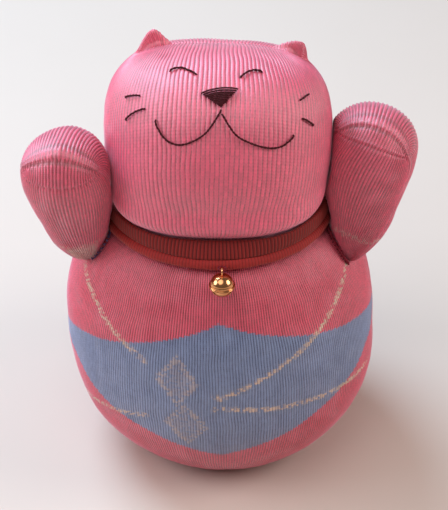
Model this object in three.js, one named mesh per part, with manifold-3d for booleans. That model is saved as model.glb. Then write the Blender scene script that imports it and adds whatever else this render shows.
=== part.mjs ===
// A beckoning cat doll sewn from a knitted sock, with both paws raised, a collar and a jingle bell.
// Millimetres, +Z up. The cat faces -Y. The origin is the middle of the flat bottom it stands on.

import * as THREE from 'three';
import { mergeVertices } from 'three/addons/utils/BufferGeometryUtils.js';
import Module from 'manifold-3d';

const wasm = await Module();
wasm.setup();

const { degToRad, lerp, smoothstep } = THREE.MathUtils;
const vec2 = (x, y) => new THREE.Vector2(x, y);
const vec3 = (x, y, z) => new THREE.Vector3(x, y, z);

// ---- Driving dimensions ----

const GAP = 0.3; // air between neighbouring pieces
const KNIT = 1.3; // thickness of the knitted fabric
const FILLING = KNIT + GAP; // how far the stuffing lies inside the outer face of the knit

const BASE_RADIUS = 36;
const NECK = vec3(-2.8, -1, 119); // middle of the tied neck
const NECK_RADIUS = 39.5;
const SHOULDER_FROM = 92; // height where the shoulders start to follow the collar's slope
const COLLAR_SLOPE = degToRad(3); // the collar sits a little higher in front

const HEAD = {
  centre: vec3(-2.7, -1, 154.3),
  halfWidth: 47.3,
  top: 37.2,
  bottom: 45.7,
  front: 44,
  back: 40,
  tilt: degToRad(22), // the face looks up by this much
  roll: degToRad(1.5), // the head leans to its left
  squareness: 2.86, // 2 is an ellipse, more is boxier: seen from the front
  fullness: 2.4, // the same, seen from the side
};
const HEAD_OPENING = NECK.z + GAP; // height of the head's open rim
const NECK_BLEND = 24; // how tightly the head's underside turns into the neck
const HEAD_TURN = degToRad(5); // how far the head twists each way on the tied neck

const EARS = [
  { tip: vec3(-29.5, 13.5, 195.5), splay: degToRad(-14) },
  { tip: vec3(32.5, 12.5, 190.5), splay: degToRad(20) },
];
const EAR_RADIUS = 11;
const EAR_HEIGHT = 17;
const EAR_FLATNESS = 0.55;

const ARM_LEFT = {
  root: vec3(-56.9, -14.5, 99.4),
  towards: vec3(-65, -25, 153.2),
  hinge: vec3(-57.5, -23.5, 98.4),
  radius: 19,
  length: 70.7,
};
const ARM_RIGHT = {
  root: vec3(52.2, -18, 99.2),
  towards: vec3(61.5, -4, 150.8),
  hinge: vec3(53.4, -23, 97.9),
  radius: 19.4,
  length: 71,
};
const ARM_SWING = degToRad(12); // how far a paw nods forwards about its hinge
const ARM_TAPER = 0.52; // how slowly the arm widens from its root
const ARM_BLUNTNESS = 5.6; // how blunt the paw's end is
const ARM_CLEARANCE = 0.8; // air between an arm and the body, collar or head

const ROLL_RADIUS = 2.2; // the collar's lower edge is a roll of this section
const COLLAR_RADIUS = 47; // to the middle of that roll
const COLLAR_HEIGHT = 117.8;
const BAND_THICKNESS = 2;
const BAND_FROM = 2.7; // the upper band's heights above the roll's middle
const BAND_TO = 9.2;

const BELL = { centre: vec3(-0.9, -57.6, 117.2), radius: 4.9, wall: 0.35, flange: 0.45 };
const LOOP_RADIUS = 1.5;
const LOOP_WIRE = 0.35;
const LOOP_HEIGHT = BELL.radius + LOOP_RADIUS + LOOP_WIRE + 0.2;
const PELLET_RADIUS = 1.6;
const BELL_THREAD = 0.3;

const THREAD = 0.45; // radius of the embroidery thread
const THREAD_LIFT = 0.35; // air under it
const NOSE = { across: 0.6, up: 23.2, halfWidth: 7.2, rise: 1.6, drop: 5.6, thickness: 0.9, narrowing: 0.85 };

// ---- Colours ----

const PINK = { color: 0xd0607f, roughness: 0.95, metalness: 0 };
const WADDING = { color: 0xf1eee8, roughness: 1, metalness: 0 };
const DARK_RED = { color: 0x7a1f1c, roughness: 0.9, metalness: 0 };
const RED = { color: 0x922a24, roughness: 0.9, metalness: 0 };
const BROWN = { color: 0x3a1a1c, roughness: 0.8, metalness: 0 };
const PINK_THREAD = { color: 0xb94a63, roughness: 0.85, metalness: 0 };
const GOLD = { color: 0xd8a648, roughness: 0.22, metalness: 1 };
const STEEL = { color: 0x9a9a9c, roughness: 0.35, metalness: 1 };

// ---- Solids, joins and cuts ----

function toSolid(geometry) {
  const bare = geometry.clone();
  bare.deleteAttribute('normal');
  bare.deleteAttribute('uv');
  const merged = mergeVertices(bare, 1e-4);
  const index = merged.index.array;
  const triangles = [];
  for (let i = 0; i < index.length; i += 3) {
    const [a, b, c] = [index[i], index[i + 1], index[i + 2]];
    if (a !== b && b !== c && c !== a) triangles.push(a, b, c);
  }
  if (signedVolume(merged.attributes.position, triangles) < 0) triangles.reverse();
  return new wasm.Manifold(new wasm.Mesh({
    numProp: 3,
    vertProperties: new Float32Array(merged.attributes.position.array),
    triVerts: new Uint32Array(triangles),
  }));
}

function signedVolume(position, triangles) {
  const [a, b, c] = [vec3(), vec3(), vec3()];
  let sum = 0;
  for (let i = 0; i < triangles.length; i += 3) {
    a.fromBufferAttribute(position, triangles[i]);
    b.fromBufferAttribute(position, triangles[i + 1]);
    c.fromBufferAttribute(position, triangles[i + 2]);
    sum += a.dot(b.cross(c));
  }
  return sum;
}

function toGeometry(solid) {
  const mesh = solid.getMesh();
  const geometry = new THREE.BufferGeometry();
  geometry.setAttribute('position', new THREE.BufferAttribute(mesh.vertProperties, 3));
  geometry.setIndex(new THREE.BufferAttribute(mesh.triVerts, 1));
  geometry.computeVertexNormals();
  return geometry;
}

// Moves every vertex of a geometry by a function of its place.
function warp(geometry, move) {
  const position = geometry.attributes.position;
  const point = vec3();
  for (let i = 0; i < position.count; i += 1) {
    point.fromBufferAttribute(position, i);
    const moved = move(point);
    position.setXYZ(i, moved.x, moved.y, moved.z);
  }
  return geometry;
}

// A lathe about the Z axis: each outline point is (radius, height).
function lathe(outline, segments) {
  return new THREE.LatheGeometry(outline, segments).rotateX(Math.PI / 2);
}

// A ring about the Z axis with a round section.
function ring(radius, wire, segments, sides) {
  const section = [];
  for (let i = 0; i <= sides; i += 1) {
    const turn = (2 * Math.PI * (i % sides)) / sides;
    section.push(vec2(radius + wire * Math.cos(turn), wire * Math.sin(turn)));
  }
  return lathe(section, segments);
}

// A round cord of the given radius along a smooth curve through the points.
function cord(points, radius, steps) {
  const section = new THREE.Shape();
  section.absarc(0, 0, radius, 0, 2 * Math.PI);
  return new THREE.ExtrudeGeometry(section, {
    curveSegments: 3,
    steps,
    bevelEnabled: false,
    extrudePath: new THREE.CatmullRomCurve3(points),
  });
}

// A unit sphere of directions with its poles on the Z axis.
function directions(segments, rows) {
  return new THREE.SphereGeometry(1, segments, rows).rotateX(Math.PI / 2);
}

// ---- Body shape ----

const bodyOutline = [
  vec2(0, 0),
  ...new THREE.SplineCurve([
    vec2(BASE_RADIUS, 0),
    vec2(42, 3),
    vec2(49.5, 10),
    vec2(59, 22),
    vec2(64.9, 38),
    vec2(66.5, 55),
    vec2(65.8, 72),
    vec2(63.2, 86),
    vec2(58.5, 98),
    vec2(54.3, 107),
    vec2(49.5, 113),
    vec2(44, 115.4),
    vec2(NECK_RADIUS, 117.2),
    vec2(NECK_RADIUS, NECK.z),
  ]).getPoints(15),
];

// Moves an outline inwards, square to itself. The outline runs upwards, so its left is the inside.
function shrink(outline, distance) {
  return outline.map((point, i) => {
    const before = outline[Math.max(i - 1, 0)];
    const after = outline[Math.min(i + 1, outline.length - 1)];
    const along = after.clone().sub(before).normalize();
    return vec2(point.x - along.y * distance, point.y + along.x * distance);
  });
}

// The stuffed body leans towards the neck's middle, and its shoulders rise in front with the collar.
function settle(point) {
  const height = point.z / NECK.z;
  const shoulder = smoothstep(point.z, SHOULDER_FROM, 112) * (1 - smoothstep(point.z, 114.5, 118));
  point.z -= point.y * Math.tan(COLLAR_SLOPE) * shoulder;
  point.x += NECK.x * height;
  point.y += NECK.y * height;
  return point;
}

// A solid body with its surface moved inwards by the inset, closed across the neck at the top height.
function bodySolid(inset, top, segments) {
  const side = shrink(bodyOutline, inset);
  side[0].x = 0;
  side[side.length - 1].y = top;
  return toSolid(warp(lathe([...side, vec2(0, top)], segments), settle));
}

// ---- Head shape ----

const headTurn = new THREE.Quaternion().setFromEuler(new THREE.Euler(-HEAD.tilt, HEAD.roll, 0));
const headAxes = {
  across: vec3(1, 0, 0).applyQuaternion(headTurn),
  up: vec3(0, 0, 1).applyQuaternion(headTurn),
  forward: vec3(0, -1, 0).applyQuaternion(headTurn),
};

// How far the head reaches from its centre along a unit direction.
function headReach(direction) {
  const up = direction.dot(headAxes.up);
  const forward = direction.dot(headAxes.forward);
  const across = Math.abs(direction.dot(headAxes.across)) / HEAD.halfWidth;
  const high = Math.abs(up) / (up > 0 ? HEAD.top : HEAD.bottom);
  const deep = Math.abs(forward) / (forward > 0 ? HEAD.front : HEAD.back);
  const face = (across ** HEAD.squareness + high ** HEAD.squareness) ** (HEAD.fullness / HEAD.squareness);
  const round = (face + deep ** HEAD.fullness) ** (-1 / HEAD.fullness);
  const neck = Math.min((NECK_RADIUS - 1) / Math.hypot(direction.x, direction.y), 60);
  const filled = (round ** NECK_BLEND + neck ** NECK_BLEND) ** (1 / NECK_BLEND);
  return lerp(round, filled, smoothstep(-direction.z, 0.1, 0.55));
}

// The head's solid with its surface moved inwards by the inset.
function headSolid(inset, segments, rows) {
  const place = (direction) => {
    const reach = headReach(direction) - inset;
    return direction.multiplyScalar(reach).add(HEAD.centre);
  };
  return toSolid(warp(directions(segments, rows), place));
}

// Everything below a height, for cutting the head off at the neck.
function below(height) {
  const block = new THREE.BoxGeometry(200, 200, 60);
  block.translate(0, 0, height - 30);
  return toSolid(block);
}

// A point of the face: across and up are measured on the tilted face, lift is height above the knit.
function facePoint(across, up, lift) {
  const high = Math.abs(up) / (up > 0 ? HEAD.top : HEAD.bottom);
  const wide = Math.abs(across) / HEAD.halfWidth;
  const face = (wide ** HEAD.squareness + high ** HEAD.squareness) ** (HEAD.fullness / HEAD.squareness);
  const deep = HEAD.front * (1 - face) ** (1 / HEAD.fullness);
  const offset = headAxes.across.clone().multiplyScalar(across);
  offset.addScaledVector(headAxes.up, up);
  offset.addScaledVector(headAxes.forward, deep);
  offset.setLength(headReach(offset.clone().normalize()) + lift);
  return offset.add(HEAD.centre);
}

function earOutline(scale) {
  const side = new THREE.SplineCurve([
    vec2(EAR_RADIUS, 0),
    vec2(EAR_RADIUS * 0.86, EAR_HEIGHT * 0.35),
    vec2(EAR_RADIUS * 0.5, EAR_HEIGHT * 0.72),
    vec2(EAR_RADIUS * 0.2, EAR_HEIGHT * 0.95),
    vec2(0, EAR_HEIGHT),
  ]);
  return [vec2(0, 0), ...side.getPoints(6)].map((point) => point.multiplyScalar(scale));
}

// A pinched corner of the head with a shallow hollow in its front.
function earSolid(ear) {
  const place = (geometry) => {
    geometry.scale(1, EAR_FLATNESS, 1);
    geometry.rotateY(ear.splay);
    return geometry.translate(ear.tip.x, ear.tip.y, ear.tip.z);
  };
  const whole = lathe(earOutline(1), 12).translate(0, 0, -EAR_HEIGHT);
  const hollow = lathe(earOutline(0.62), 10).translate(0, -8.4, -EAR_HEIGHT * 0.78);
  return toSolid(place(whole)).subtract(toSolid(place(hollow)));
}

// ---- Arm shape ----

// The arm's radius at a share of its length, as a share of its greatest radius.
function armProfile(share) {
  const widest = (ARM_TAPER / (ARM_TAPER + ARM_BLUNTNESS / 2)) ** (1 / ARM_BLUNTNESS);
  const radius = (s) => s ** ARM_TAPER * Math.sqrt(Math.max(0, 1 - s ** ARM_BLUNTNESS));
  return radius(share) / radius(widest);
}

function armAxes(arm) {
  const along = arm.towards.clone().sub(arm.root).normalize();
  const across = vec3(1, 0, 0).addScaledVector(along, -along.x).normalize();
  return { along, across, back: along.clone().cross(across) };
}

// A point on the arm: share is 0 at the root and 1 at the paw's end, turn goes round the arm.
function armPoint(arm, share, turn, inset) {
  const axes = armAxes(arm);
  const radius = armProfile(share) * (arm.radius - inset);
  const point = arm.root.clone();
  point.addScaledVector(axes.along, inset + share * (arm.length - 2 * inset));
  point.addScaledVector(axes.across, radius * Math.cos(turn));
  return point.addScaledVector(axes.back, radius * Math.sin(turn));
}

function armSolid(arm, inset, segments, rows) {
  const place = (direction) => {
    const share = THREE.MathUtils.clamp((1 + direction.z) / 2, 0, 1);
    return armPoint(arm, share, Math.atan2(direction.y, direction.x), inset);
  };
  return toSolid(warp(directions(segments, rows), place));
}

// The space that the collar fills, grown by a clearance.
function collarSolid(clearance) {
  const outer = COLLAR_RADIUS + ROLL_RADIUS + clearance;
  const outline = [
    vec2(0, -ROLL_RADIUS - clearance),
    vec2(COLLAR_RADIUS, -ROLL_RADIUS - clearance),
    vec2(outer, -ROLL_RADIUS / 2),
    vec2(outer, BAND_FROM),
    vec2(outer - 2, BAND_TO + clearance),
    vec2(0, BAND_TO + clearance),
  ];
  return toSolid(lathe(outline, 48).rotateX(-COLLAR_SLOPE).translate(NECK.x, NECK.y, COLLAR_HEIGHT));
}

// Turns a solid about an upright or level line through a point.
function turnAbout(solid, point, turnX, turnZ) {
  const toDegrees = THREE.MathUtils.radToDeg;
  const moved = solid.translate([-point.x, -point.y, -point.z]);
  return moved.rotate([toDegrees(turnX), 0, toDegrees(turnZ)]).translate([point.x, point.y, point.z]);
}

// What an arm meets as it nods and the head twists, grown by a clearance: the head and the collar.
function armStops(arm, clearance) {
  const head = headSolid(-clearance, 36, 20);
  let still = head.add(collarSolid(clearance));
  for (const turn of [-HEAD_TURN, HEAD_TURN]) still = still.add(turnAbout(head, NECK, 0, turn));
  let swept = still;
  for (const swing of [ARM_SWING / 2, ARM_SWING]) swept = swept.add(turnAbout(still, arm.hinge, -swing, 0));
  return swept;
}

// ---- Sub-parts: head ----

function headSkin() {
  let outer = headSolid(0, 36, 19);
  for (const ear of EARS) outer = outer.add(earSolid(ear));
  const inner = headSolid(KNIT, 24, 14);
  return outer.subtract(inner).subtract(below(HEAD_OPENING));
}

function headStuffing() {
  return headSolid(FILLING, 24, 14).subtract(below(HEAD_OPENING + GAP));
}

// A satin-stitched triangle with round corners, point down. It is a flat round pill at first.
function nose() {
  const { across, up, halfWidth, rise, drop, thickness, narrowing } = NOSE;
  const outline = [vec2(0, 1), vec2(0.55, 1), vec2(0.92, 0.78), vec2(1, 0.4), vec2(0.92, 0), vec2(0, 0)];
  const pill = lathe(outline, 24);
  const place = (point) => {
    const below = Math.max(0, -point.y);
    const level = point.y > 0 ? rise * point.y : -drop * below ** 0.8;
    const side = halfWidth * point.x * (1 - narrowing * below);
    return facePoint(across + side, up + level, THREAD_LIFT + thickness * point.z);
  };
  return toSolid(warp(pill, place));
}

// A line of thread stitched along face points, each given as [across, up].
function faceThread(points, steps) {
  const lift = THREAD_LIFT + THREAD;
  return toSolid(cord(points.map(([across, up]) => facePoint(across, up, lift)), THREAD, steps));
}

// ---- Sub-parts: body ----

function bodySkin() {
  const side = shrink(bodyOutline, KNIT);
  side[0].x = 0;
  side[side.length - 1].y = NECK.z;
  const profile = [...bodyOutline, ...side.reverse()];
  return toSolid(warp(lathe(profile, 32), settle));
}

function bodyStuffing() {
  return bodySolid(FILLING, NECK.z - GAP, 32);
}

// The thread that ties the neck, just under the head's open rim.
function neckThread() {
  const wire = 0.45;
  const geometry = ring(NECK_RADIUS + GAP + wire, wire, 36, 5);
  return toSolid(geometry.translate(NECK.x, NECK.y, NECK.z - wire - 0.1));
}

// ---- Sub-parts: arms ----

function armSkin(arm) {
  const knit = armSolid(arm, 0, 22, 14).subtract(armStops(arm, ARM_CLEARANCE));
  const hollow = armSolid(arm, KNIT, 16, 10).subtract(armStops(arm, ARM_CLEARANCE + KNIT));
  return knit.subtract(hollow).subtract(bodySolid(-ARM_CLEARANCE, NECK.z, 32));
}

function armStuffing(arm) {
  const filling = armSolid(arm, FILLING + 0.1, 16, 10).subtract(armStops(arm, ARM_CLEARANCE + FILLING));
  return filling.subtract(bodySolid(-ARM_CLEARANCE - GAP, NECK.z, 32));
}

// How far a point lies outside the body's side, measured level.
function outsideBody(point) {
  const height = point.z / NECK.z;
  const reach = Math.hypot(point.x - NECK.x * height, point.y - NECK.y * height);
  const next = bodyOutline.findIndex((corner, i) => i > 1 && corner.y > point.z);
  const [low, high] = [bodyOutline[next - 1], bodyOutline[next]];
  const share = (point.z - low.y) / (high.y - low.y);
  return reach - lerp(low.x, high.x, share);
}

// The thread that sews an arm on: it follows the line where the arm leaves the body.
function armThread(arm, turnFrom, turnTo) {
  const wire = 0.4;
  const away = 1.3;
  const points = [];
  const count = 8;
  for (let i = 0; i < count; i += 1) {
    const turn = lerp(turnFrom, turnTo, i / (count - 1));
    let share = 0.004;
    while (outsideBody(armPoint(arm, share, turn, -away)) < away) share += 0.002;
    points.push(armPoint(arm, share, turn, -away));
  }
  return toSolid(cord(points, wire, 16));
}

// ---- Sub-parts: collar and bell ----

function placeCollar(geometry) {
  return geometry.rotateX(-COLLAR_SLOPE).translate(NECK.x, NECK.y, COLLAR_HEIGHT);
}

function collarRoll() {
  return toSolid(placeCollar(ring(COLLAR_RADIUS, ROLL_RADIUS, 40, 8)));
}

// How far the head reaches sideways from the neck's axis, at a height and along a level heading.
function headEdge(height, heading) {
  const step = 0.25;
  let reach = 20;
  let inside = true;
  while (inside) {
    reach += step;
    const offset = vec3(NECK.x, NECK.y, height).addScaledVector(heading, reach).sub(HEAD.centre);
    const distance = offset.length();
    inside = distance < headReach(offset.divideScalar(distance));
  }
  return reach;
}

// The upper band leans in over the neck and gives way where the head presses on it.
function collarBand() {
  const inner = (height) => COLLAR_RADIUS - 1.6 - 0.45 * (height - BAND_FROM);
  const heights = [BAND_FROM, lerp(BAND_FROM, BAND_TO, 0.5), BAND_TO];
  const inside = heights.map((height) => vec2(inner(height), height));
  const outside = heights.map((height) => vec2(inner(height) + BAND_THICKNESS, height));
  const profile = [...inside, ...outside.reverse(), inside[0]];
  const band = placeCollar(lathe(profile, 40));
  const giveWay = (point) => {
    const level = point.z - COLLAR_HEIGHT - (NECK.y - point.y) * Math.tan(COLLAR_SLOPE);
    const outwards = vec3(point.x - NECK.x, point.y - NECK.y, 0).normalize();
    const turns = [-HEAD_TURN, -HEAD_TURN / 2, 0, HEAD_TURN / 2, HEAD_TURN];
    const upright = vec3(0, 0, 1);
    const edges = turns.map((turn) => headEdge(point.z, outwards.clone().applyAxisAngle(upright, turn)));
    const pressed = Math.max(0, Math.max(...edges) + 2 * GAP - inner(level));
    return point.addScaledVector(outwards, pressed);
  };
  return toSolid(warp(band, giveWay));
}

// One half of the bell: a thin dome with a flange round its open edge.
function bellDome() {
  const { radius, wall, flange } = BELL;
  const lift = 0.1;
  const outline = [];
  const rows = 5;
  for (let i = 0; i <= rows; i += 1) {
    const turn = (Math.PI / 2) * (1 - i / rows);
    outline.push(vec2(radius * Math.cos(turn), lift + radius * Math.sin(turn)));
  }
  outline[rows].y = lift + wall;
  outline.push(vec2(radius + flange, lift + wall), vec2(radius + flange, lift));
  for (let i = rows; i >= 0; i -= 1) {
    const turn = (Math.PI / 2) * (1 - i / rows);
    outline.push(vec2((radius - wall) * Math.cos(turn), lift + (radius - wall) * Math.sin(turn)));
  }
  outline[0].x = 0;
  outline[outline.length - 1].x = 0;
  return lathe(outline, 16);
}

function bellUpperShell() {
  return toSolid(bellDome());
}

// The lower half has crossed slots that let the sound out.
function bellLowerShell() {
  let shell = toSolid(bellDome().rotateX(Math.PI));
  const slot = { width: 1, length: 9.2, depth: 4 };
  for (const turn of [0, Math.PI / 2]) {
    const cut = new THREE.BoxGeometry(slot.length, slot.width, slot.depth);
    cut.rotateZ(turn + Math.PI / 4);
    cut.translate(0, 0, -BELL.radius);
    shell = shell.subtract(toSolid(cut));
  }
  return shell;
}

function bellLoop() {
  const loop = ring(LOOP_RADIUS, LOOP_WIRE, 16, 6).rotateY(Math.PI / 2);
  return toSolid(loop.translate(0, 0, LOOP_HEIGHT));
}

function bellPellet() {
  const pellet = new THREE.SphereGeometry(PELLET_RADIUS, 12, 8);
  return toSolid(pellet.translate(0, 0, -(BELL.radius - BELL.wall - PELLET_RADIUS - GAP)));
}

// A small loop of thread that runs from the collar's roll through the bell's loop.
function bellHanger() {
  const reach = 3.9;
  const slope = degToRad(26);
  const hanger = ring(reach, BELL_THREAD, 16, 6);
  hanger.scale(0.4, 1, 1);
  hanger.rotateX(-slope);
  const front = LOOP_HEIGHT + LOOP_RADIUS - LOOP_WIRE - BELL_THREAD - 0.2;
  return toSolid(hanger.translate(0, reach * Math.cos(slope), front - reach * Math.sin(slope)));
}

// ---- The doll ----

function piece(name, solid, look, parent) {
  const mesh = new THREE.Mesh(toGeometry(solid), new THREE.MeshStandardMaterial(look));
  mesh.name = name;
  parent.add(mesh);
  return mesh;
}

const doll = new THREE.Group();

const body = new THREE.Group();
piece('body_skin', bodySkin(), PINK, body);
piece('body_stuffing', bodyStuffing(), WADDING, body);
piece('neck_tie_thread', neckThread(), PINK_THREAD, body);
piece('collar_lower_roll', collarRoll(), RED, body);
piece('collar_upper_band', collarBand(), DARK_RED, body);
doll.add(body);

const head = new THREE.Group();
piece('head_skin', headSkin(), PINK, head);
piece('head_stuffing', headStuffing(), WADDING, head);
piece('nose_embroidery', nose(), BROWN, head);
const faceLines = {
  eye_thread_left: [[-20, 29.8], [-16.2, 31], [-12.5, 30.5], [-9, 29.2]],
  eye_thread_right: [[8.4, 28.8], [11.4, 30.4], [14, 30.9], [17.2, 30.4]],
  mouth_thread_left: [[0.4, 15.8], [-4.6, 8.4], [-10.2, 4.5], [-15.7, 3], [-20.4, 4.6], [-23.7, 8.7], [-25, 12]],
  mouth_thread_right: [[2, 14.6], [6.7, 8.1], [12.2, 4.8], [18.8, 2.6], [24, 2.4], [27.7, 4.1], [30.4, 6.8]],
  whisker_thread_left_upper: [[-37.7, 18.3], [-34.7, 19.6], [-31.6, 20.2]],
  whisker_thread_left_lower: [[-37.2, 9.8], [-33.9, 13.3], [-29.4, 15.8]],
  whisker_thread_right_upper: [[32.6, 19.9], [34.5, 20.9], [36.4, 21.6]],
  whisker_thread_right_lower: [[33.7, 12.9], [36, 11.3], [38.4, 9.3]],
};
for (const [name, points] of Object.entries(faceLines)) {
  const steps = name.startsWith('mouth') ? 14 : 5;
  piece(name, faceThread(points, steps), BROWN, head);
}
doll.add(head);

const arms = {
  arm_left: { shape: ARM_LEFT, threadFrom: degToRad(85), threadTo: degToRad(290) },
  arm_right: { shape: ARM_RIGHT, threadFrom: degToRad(-105), threadTo: degToRad(85) },
};
for (const [name, { shape, threadFrom, threadTo }] of Object.entries(arms)) {
  const arm = new THREE.Group();
  piece(`${name}_skin`, armSkin(shape), PINK, arm);
  piece(`${name}_stuffing`, armStuffing(shape), WADDING, arm);
  piece(`${name}_sewing_thread`, armThread(shape, threadFrom, threadTo), PINK_THREAD, arm);
  doll.add(arm);
}

const bell = new THREE.Group();
bell.position.copy(BELL.centre);
piece('bell_upper_shell', bellUpperShell(), GOLD, bell);
piece('bell_lower_shell', bellLowerShell(), GOLD, bell);
piece('bell_loop', bellLoop(), GOLD, bell);
piece('bell_pellet', bellPellet(), STEEL, bell);
piece('bell_hanging_thread', bellHanger(), PINK_THREAD, bell);
doll.add(bell);

export default doll;
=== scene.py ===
"""Looks for a beckoning cat doll sewn from knitted socks: knitted skins, embroidery, collar and bell.

Shapes are worked out in millimetres in the shared frame (+Z up, the cat faces -Y) and written in metres.
"""

import math

import bpy
import numpy as np
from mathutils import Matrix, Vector


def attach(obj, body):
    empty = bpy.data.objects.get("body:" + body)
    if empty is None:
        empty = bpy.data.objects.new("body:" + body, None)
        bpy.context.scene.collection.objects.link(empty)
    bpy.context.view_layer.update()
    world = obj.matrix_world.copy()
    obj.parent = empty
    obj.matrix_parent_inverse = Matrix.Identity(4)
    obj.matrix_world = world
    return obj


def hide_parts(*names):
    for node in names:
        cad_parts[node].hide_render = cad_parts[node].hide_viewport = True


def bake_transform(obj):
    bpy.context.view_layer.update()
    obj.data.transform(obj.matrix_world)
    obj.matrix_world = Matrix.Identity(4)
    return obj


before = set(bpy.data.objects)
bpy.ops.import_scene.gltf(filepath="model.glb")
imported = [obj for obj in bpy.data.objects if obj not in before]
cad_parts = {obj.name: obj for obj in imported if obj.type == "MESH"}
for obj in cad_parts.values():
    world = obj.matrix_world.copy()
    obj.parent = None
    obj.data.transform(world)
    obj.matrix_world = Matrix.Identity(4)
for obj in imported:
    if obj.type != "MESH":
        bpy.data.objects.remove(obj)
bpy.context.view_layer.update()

MM = 0.001
TAU = 2 * math.pi


# ---- Driving dimensions, in millimetres and degrees, as in the CAD model ----

NECK = np.array([-2.8, -1.0, 119.0])
NECK_RADIUS = 39.5
COLLAR_SLOPE = math.radians(3)
BODY_OUTLINE = [
    (36, 0), (42, 3), (49.5, 10), (59, 22), (64.9, 38), (66.5, 55), (65.8, 72),
    (63.2, 86), (58.5, 98), (54.3, 107), (49.5, 113), (44, 115.4), (39.5, 117.2), (39.5, 119),
]
BASE_RADIUS = 36

HEAD_CENTRE = np.array([-2.7, -1.0, 154.3])
HEAD_HALF_WIDTH, HEAD_TOP, HEAD_BOTTOM, HEAD_FRONT, HEAD_BACK = 47.3, 37.2, 45.7, 44.0, 40.0
HEAD_TILT, HEAD_ROLL = math.radians(22), math.radians(1.5)
HEAD_SQUARENESS, HEAD_FULLNESS = 2.86, 2.4
HEAD_RIM = 119.3
HEAD_TURN = math.radians(5)

EARS = [
    {"tip": np.array([-29.5, 13.5, 195.0]), "splay": math.radians(-14), "blunt": 0.5, "flare": 1.6},
    {"tip": np.array([32.5, 12.5, 190.3]), "splay": math.radians(20), "blunt": 1.3, "flare": 1.9},
]
EAR_RADIUS, EAR_DEPTH, EAR_HEIGHT = 8.8, 5.6, 17.0
EAR_OUTLINE = ([0, 0.15, 0.4, 0.7, 1, 1.4], [1, 0.94, 0.70, 0.36, -0.05, -0.9])  # shares out, shares up

ARMS = {
    "left": {
        "root": np.array([-56.9, -14.5, 99.4]), "towards": np.array([-65, -25, 153.2]),
        "hinge": np.array([-57.5, -23.5, 98.4]), "radius": 19.0, "length": 70.7,
        "seam": 0.70, "seam_turn": math.radians(-9), "seam_forward": 0.28, "twist": math.radians(-2),
        "fullness": 2.2, "pocket": 0.62, "pinch": 3.0, "seed": 21, "outside": -1,
    },
    "right": {
        "root": np.array([52.2, -18, 99.2]), "towards": np.array([61.5, -4, 150.8]),
        "hinge": np.array([53.4, -23, 97.9]), "radius": 19.4, "length": 71.0,
        "seam": 0.74, "seam_turn": math.radians(-12), "seam_forward": 0.50, "twist": math.radians(-34),
        "fullness": 1.2, "pocket": 0.5, "pinch": 0.0, "seed": 31, "outside": 1,
    },
}
ARM_TAPER, ARM_BLUNTNESS = 0.52, 5.6
ARM_SWING = math.radians(12)
ARM_CLEARANCE = 0.3  # between a paw's knit and the head or body at any pose
WADDING_INSET, PAW_WADDING_INSET = 2.4, 2.6

COLLAR_RADIUS, COLLAR_HEIGHT, ROLL_RADIUS = 47.0, 117.8, 2.2
BAND_FROM, BAND_TO, BAND_THICKNESS = 2.7, 9.2, 2.0
BAND_RADIUS, BAND_LEAN = COLLAR_RADIUS - 1.6, 0.45
LEAN_IN = 4.5  # how far the band leans in where the head leaves room
COLLAR_FILLS = ([-3.2, -2.4, 0, 3, 9.4, 10.5], [0, 46.5, 49.6, 49.4, 47.6, 0])  # heights, then radii

BELL_CENTRE = np.array([-0.9, -57.6, 117.2])
BELL_RADIUS, BELL_WALL, BELL_FLANGE = 4.9, 0.35, 0.45
LOOP_RADIUS, LOOP_WIRE = 1.5, 0.35
LOOP_HEIGHT = BELL_RADIUS + LOOP_RADIUS + LOOP_WIRE + 0.2
PELLET_RADIUS = 1.6

# The knit: how many columns of stitches (wales) go round, and how far apart its rows (courses) are.
BODY_WALES, HEAD_WALES, ARM_WALES = 336, 160, 84
BODY_COURSE, HEAD_COURSE = 0.95, 1.1
PAW_COURSES, HEAD_COURSES = 80, 84
PER_WALE = 4  # mesh columns in one wale
SWELL = 0.8  # how far the stuffing may push the knit out
LUMP_WAVES = 14
STUFFING_PRESSURE, STUFFING_FRAMES = 24, 20
COARSE_ROWS, COARSE_COLUMNS = 3, 8  # the simulated cloth has every third row and every eighth column
SIMULATION_SCALE = 10  # cloth springs don't scale, so the cloth is simulated ten times life size

# The argyle's blue diamond: half its width in degrees, then half its height and its middle in millimetres.
DIAMOND_WIDE, DIAMOND_HIGH, DIAMOND_MIDDLE, DIAMOND_LEAN = 93, 34.6, 75.5, 0.05


# ---- Numbers ----

def smoothstep(x, low, high):
    """0 up to low, 1 from high on, and smooth between."""
    t = np.clip((x - low) / (high - low), 0, 1)
    return t * t * (3 - 2 * t)


def fade(x, low, high):
    """1 up to low, 0 from high on, and smooth between."""
    return 1 - smoothstep(x, low, high)


def hump(x, middle, width):
    """1 in the middle, falling to nothing on both sides."""
    return np.exp(-((x - middle) / width) ** 2)


def soft_most(a, b, softness):
    """The greater of two values, rounded off where they meet."""
    return np.logaddexp(a / softness, b / softness) * softness


def lerp(a, b, t):
    return a + (b - a) * t


def unit(v):
    return v / np.maximum(np.linalg.norm(v, axis=-1, keepdims=True), 1e-9)


def circle(count):
    """Evenly spaced angles round a circle."""
    return np.arange(count) / count * TAU


def distance_along(points):
    gaps = np.linalg.norm(np.diff(points, axis=0), axis=1)
    return np.concatenate([[0], np.cumsum(gaps)])


def spline(points, per_span):
    """A smooth curve through the points: uniform Catmull-Rom with its ends held."""
    p = np.asarray(points, float)
    p = np.vstack([p[:1], p, p[-1:]])
    t = np.linspace(0, 1, per_span, endpoint=False)[:, None]
    spans = []
    for i in range(len(p) - 3):
        a, b, c, d = p[i:i + 4]
        spans.append(0.5 * (2 * b + (c - a) * t + (2 * a - 5 * b + 4 * c - d) * t ** 2
                            + (3 * b - a - 3 * c + d) * t ** 3))
    return np.vstack(spans + [p[-1:]])


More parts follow.
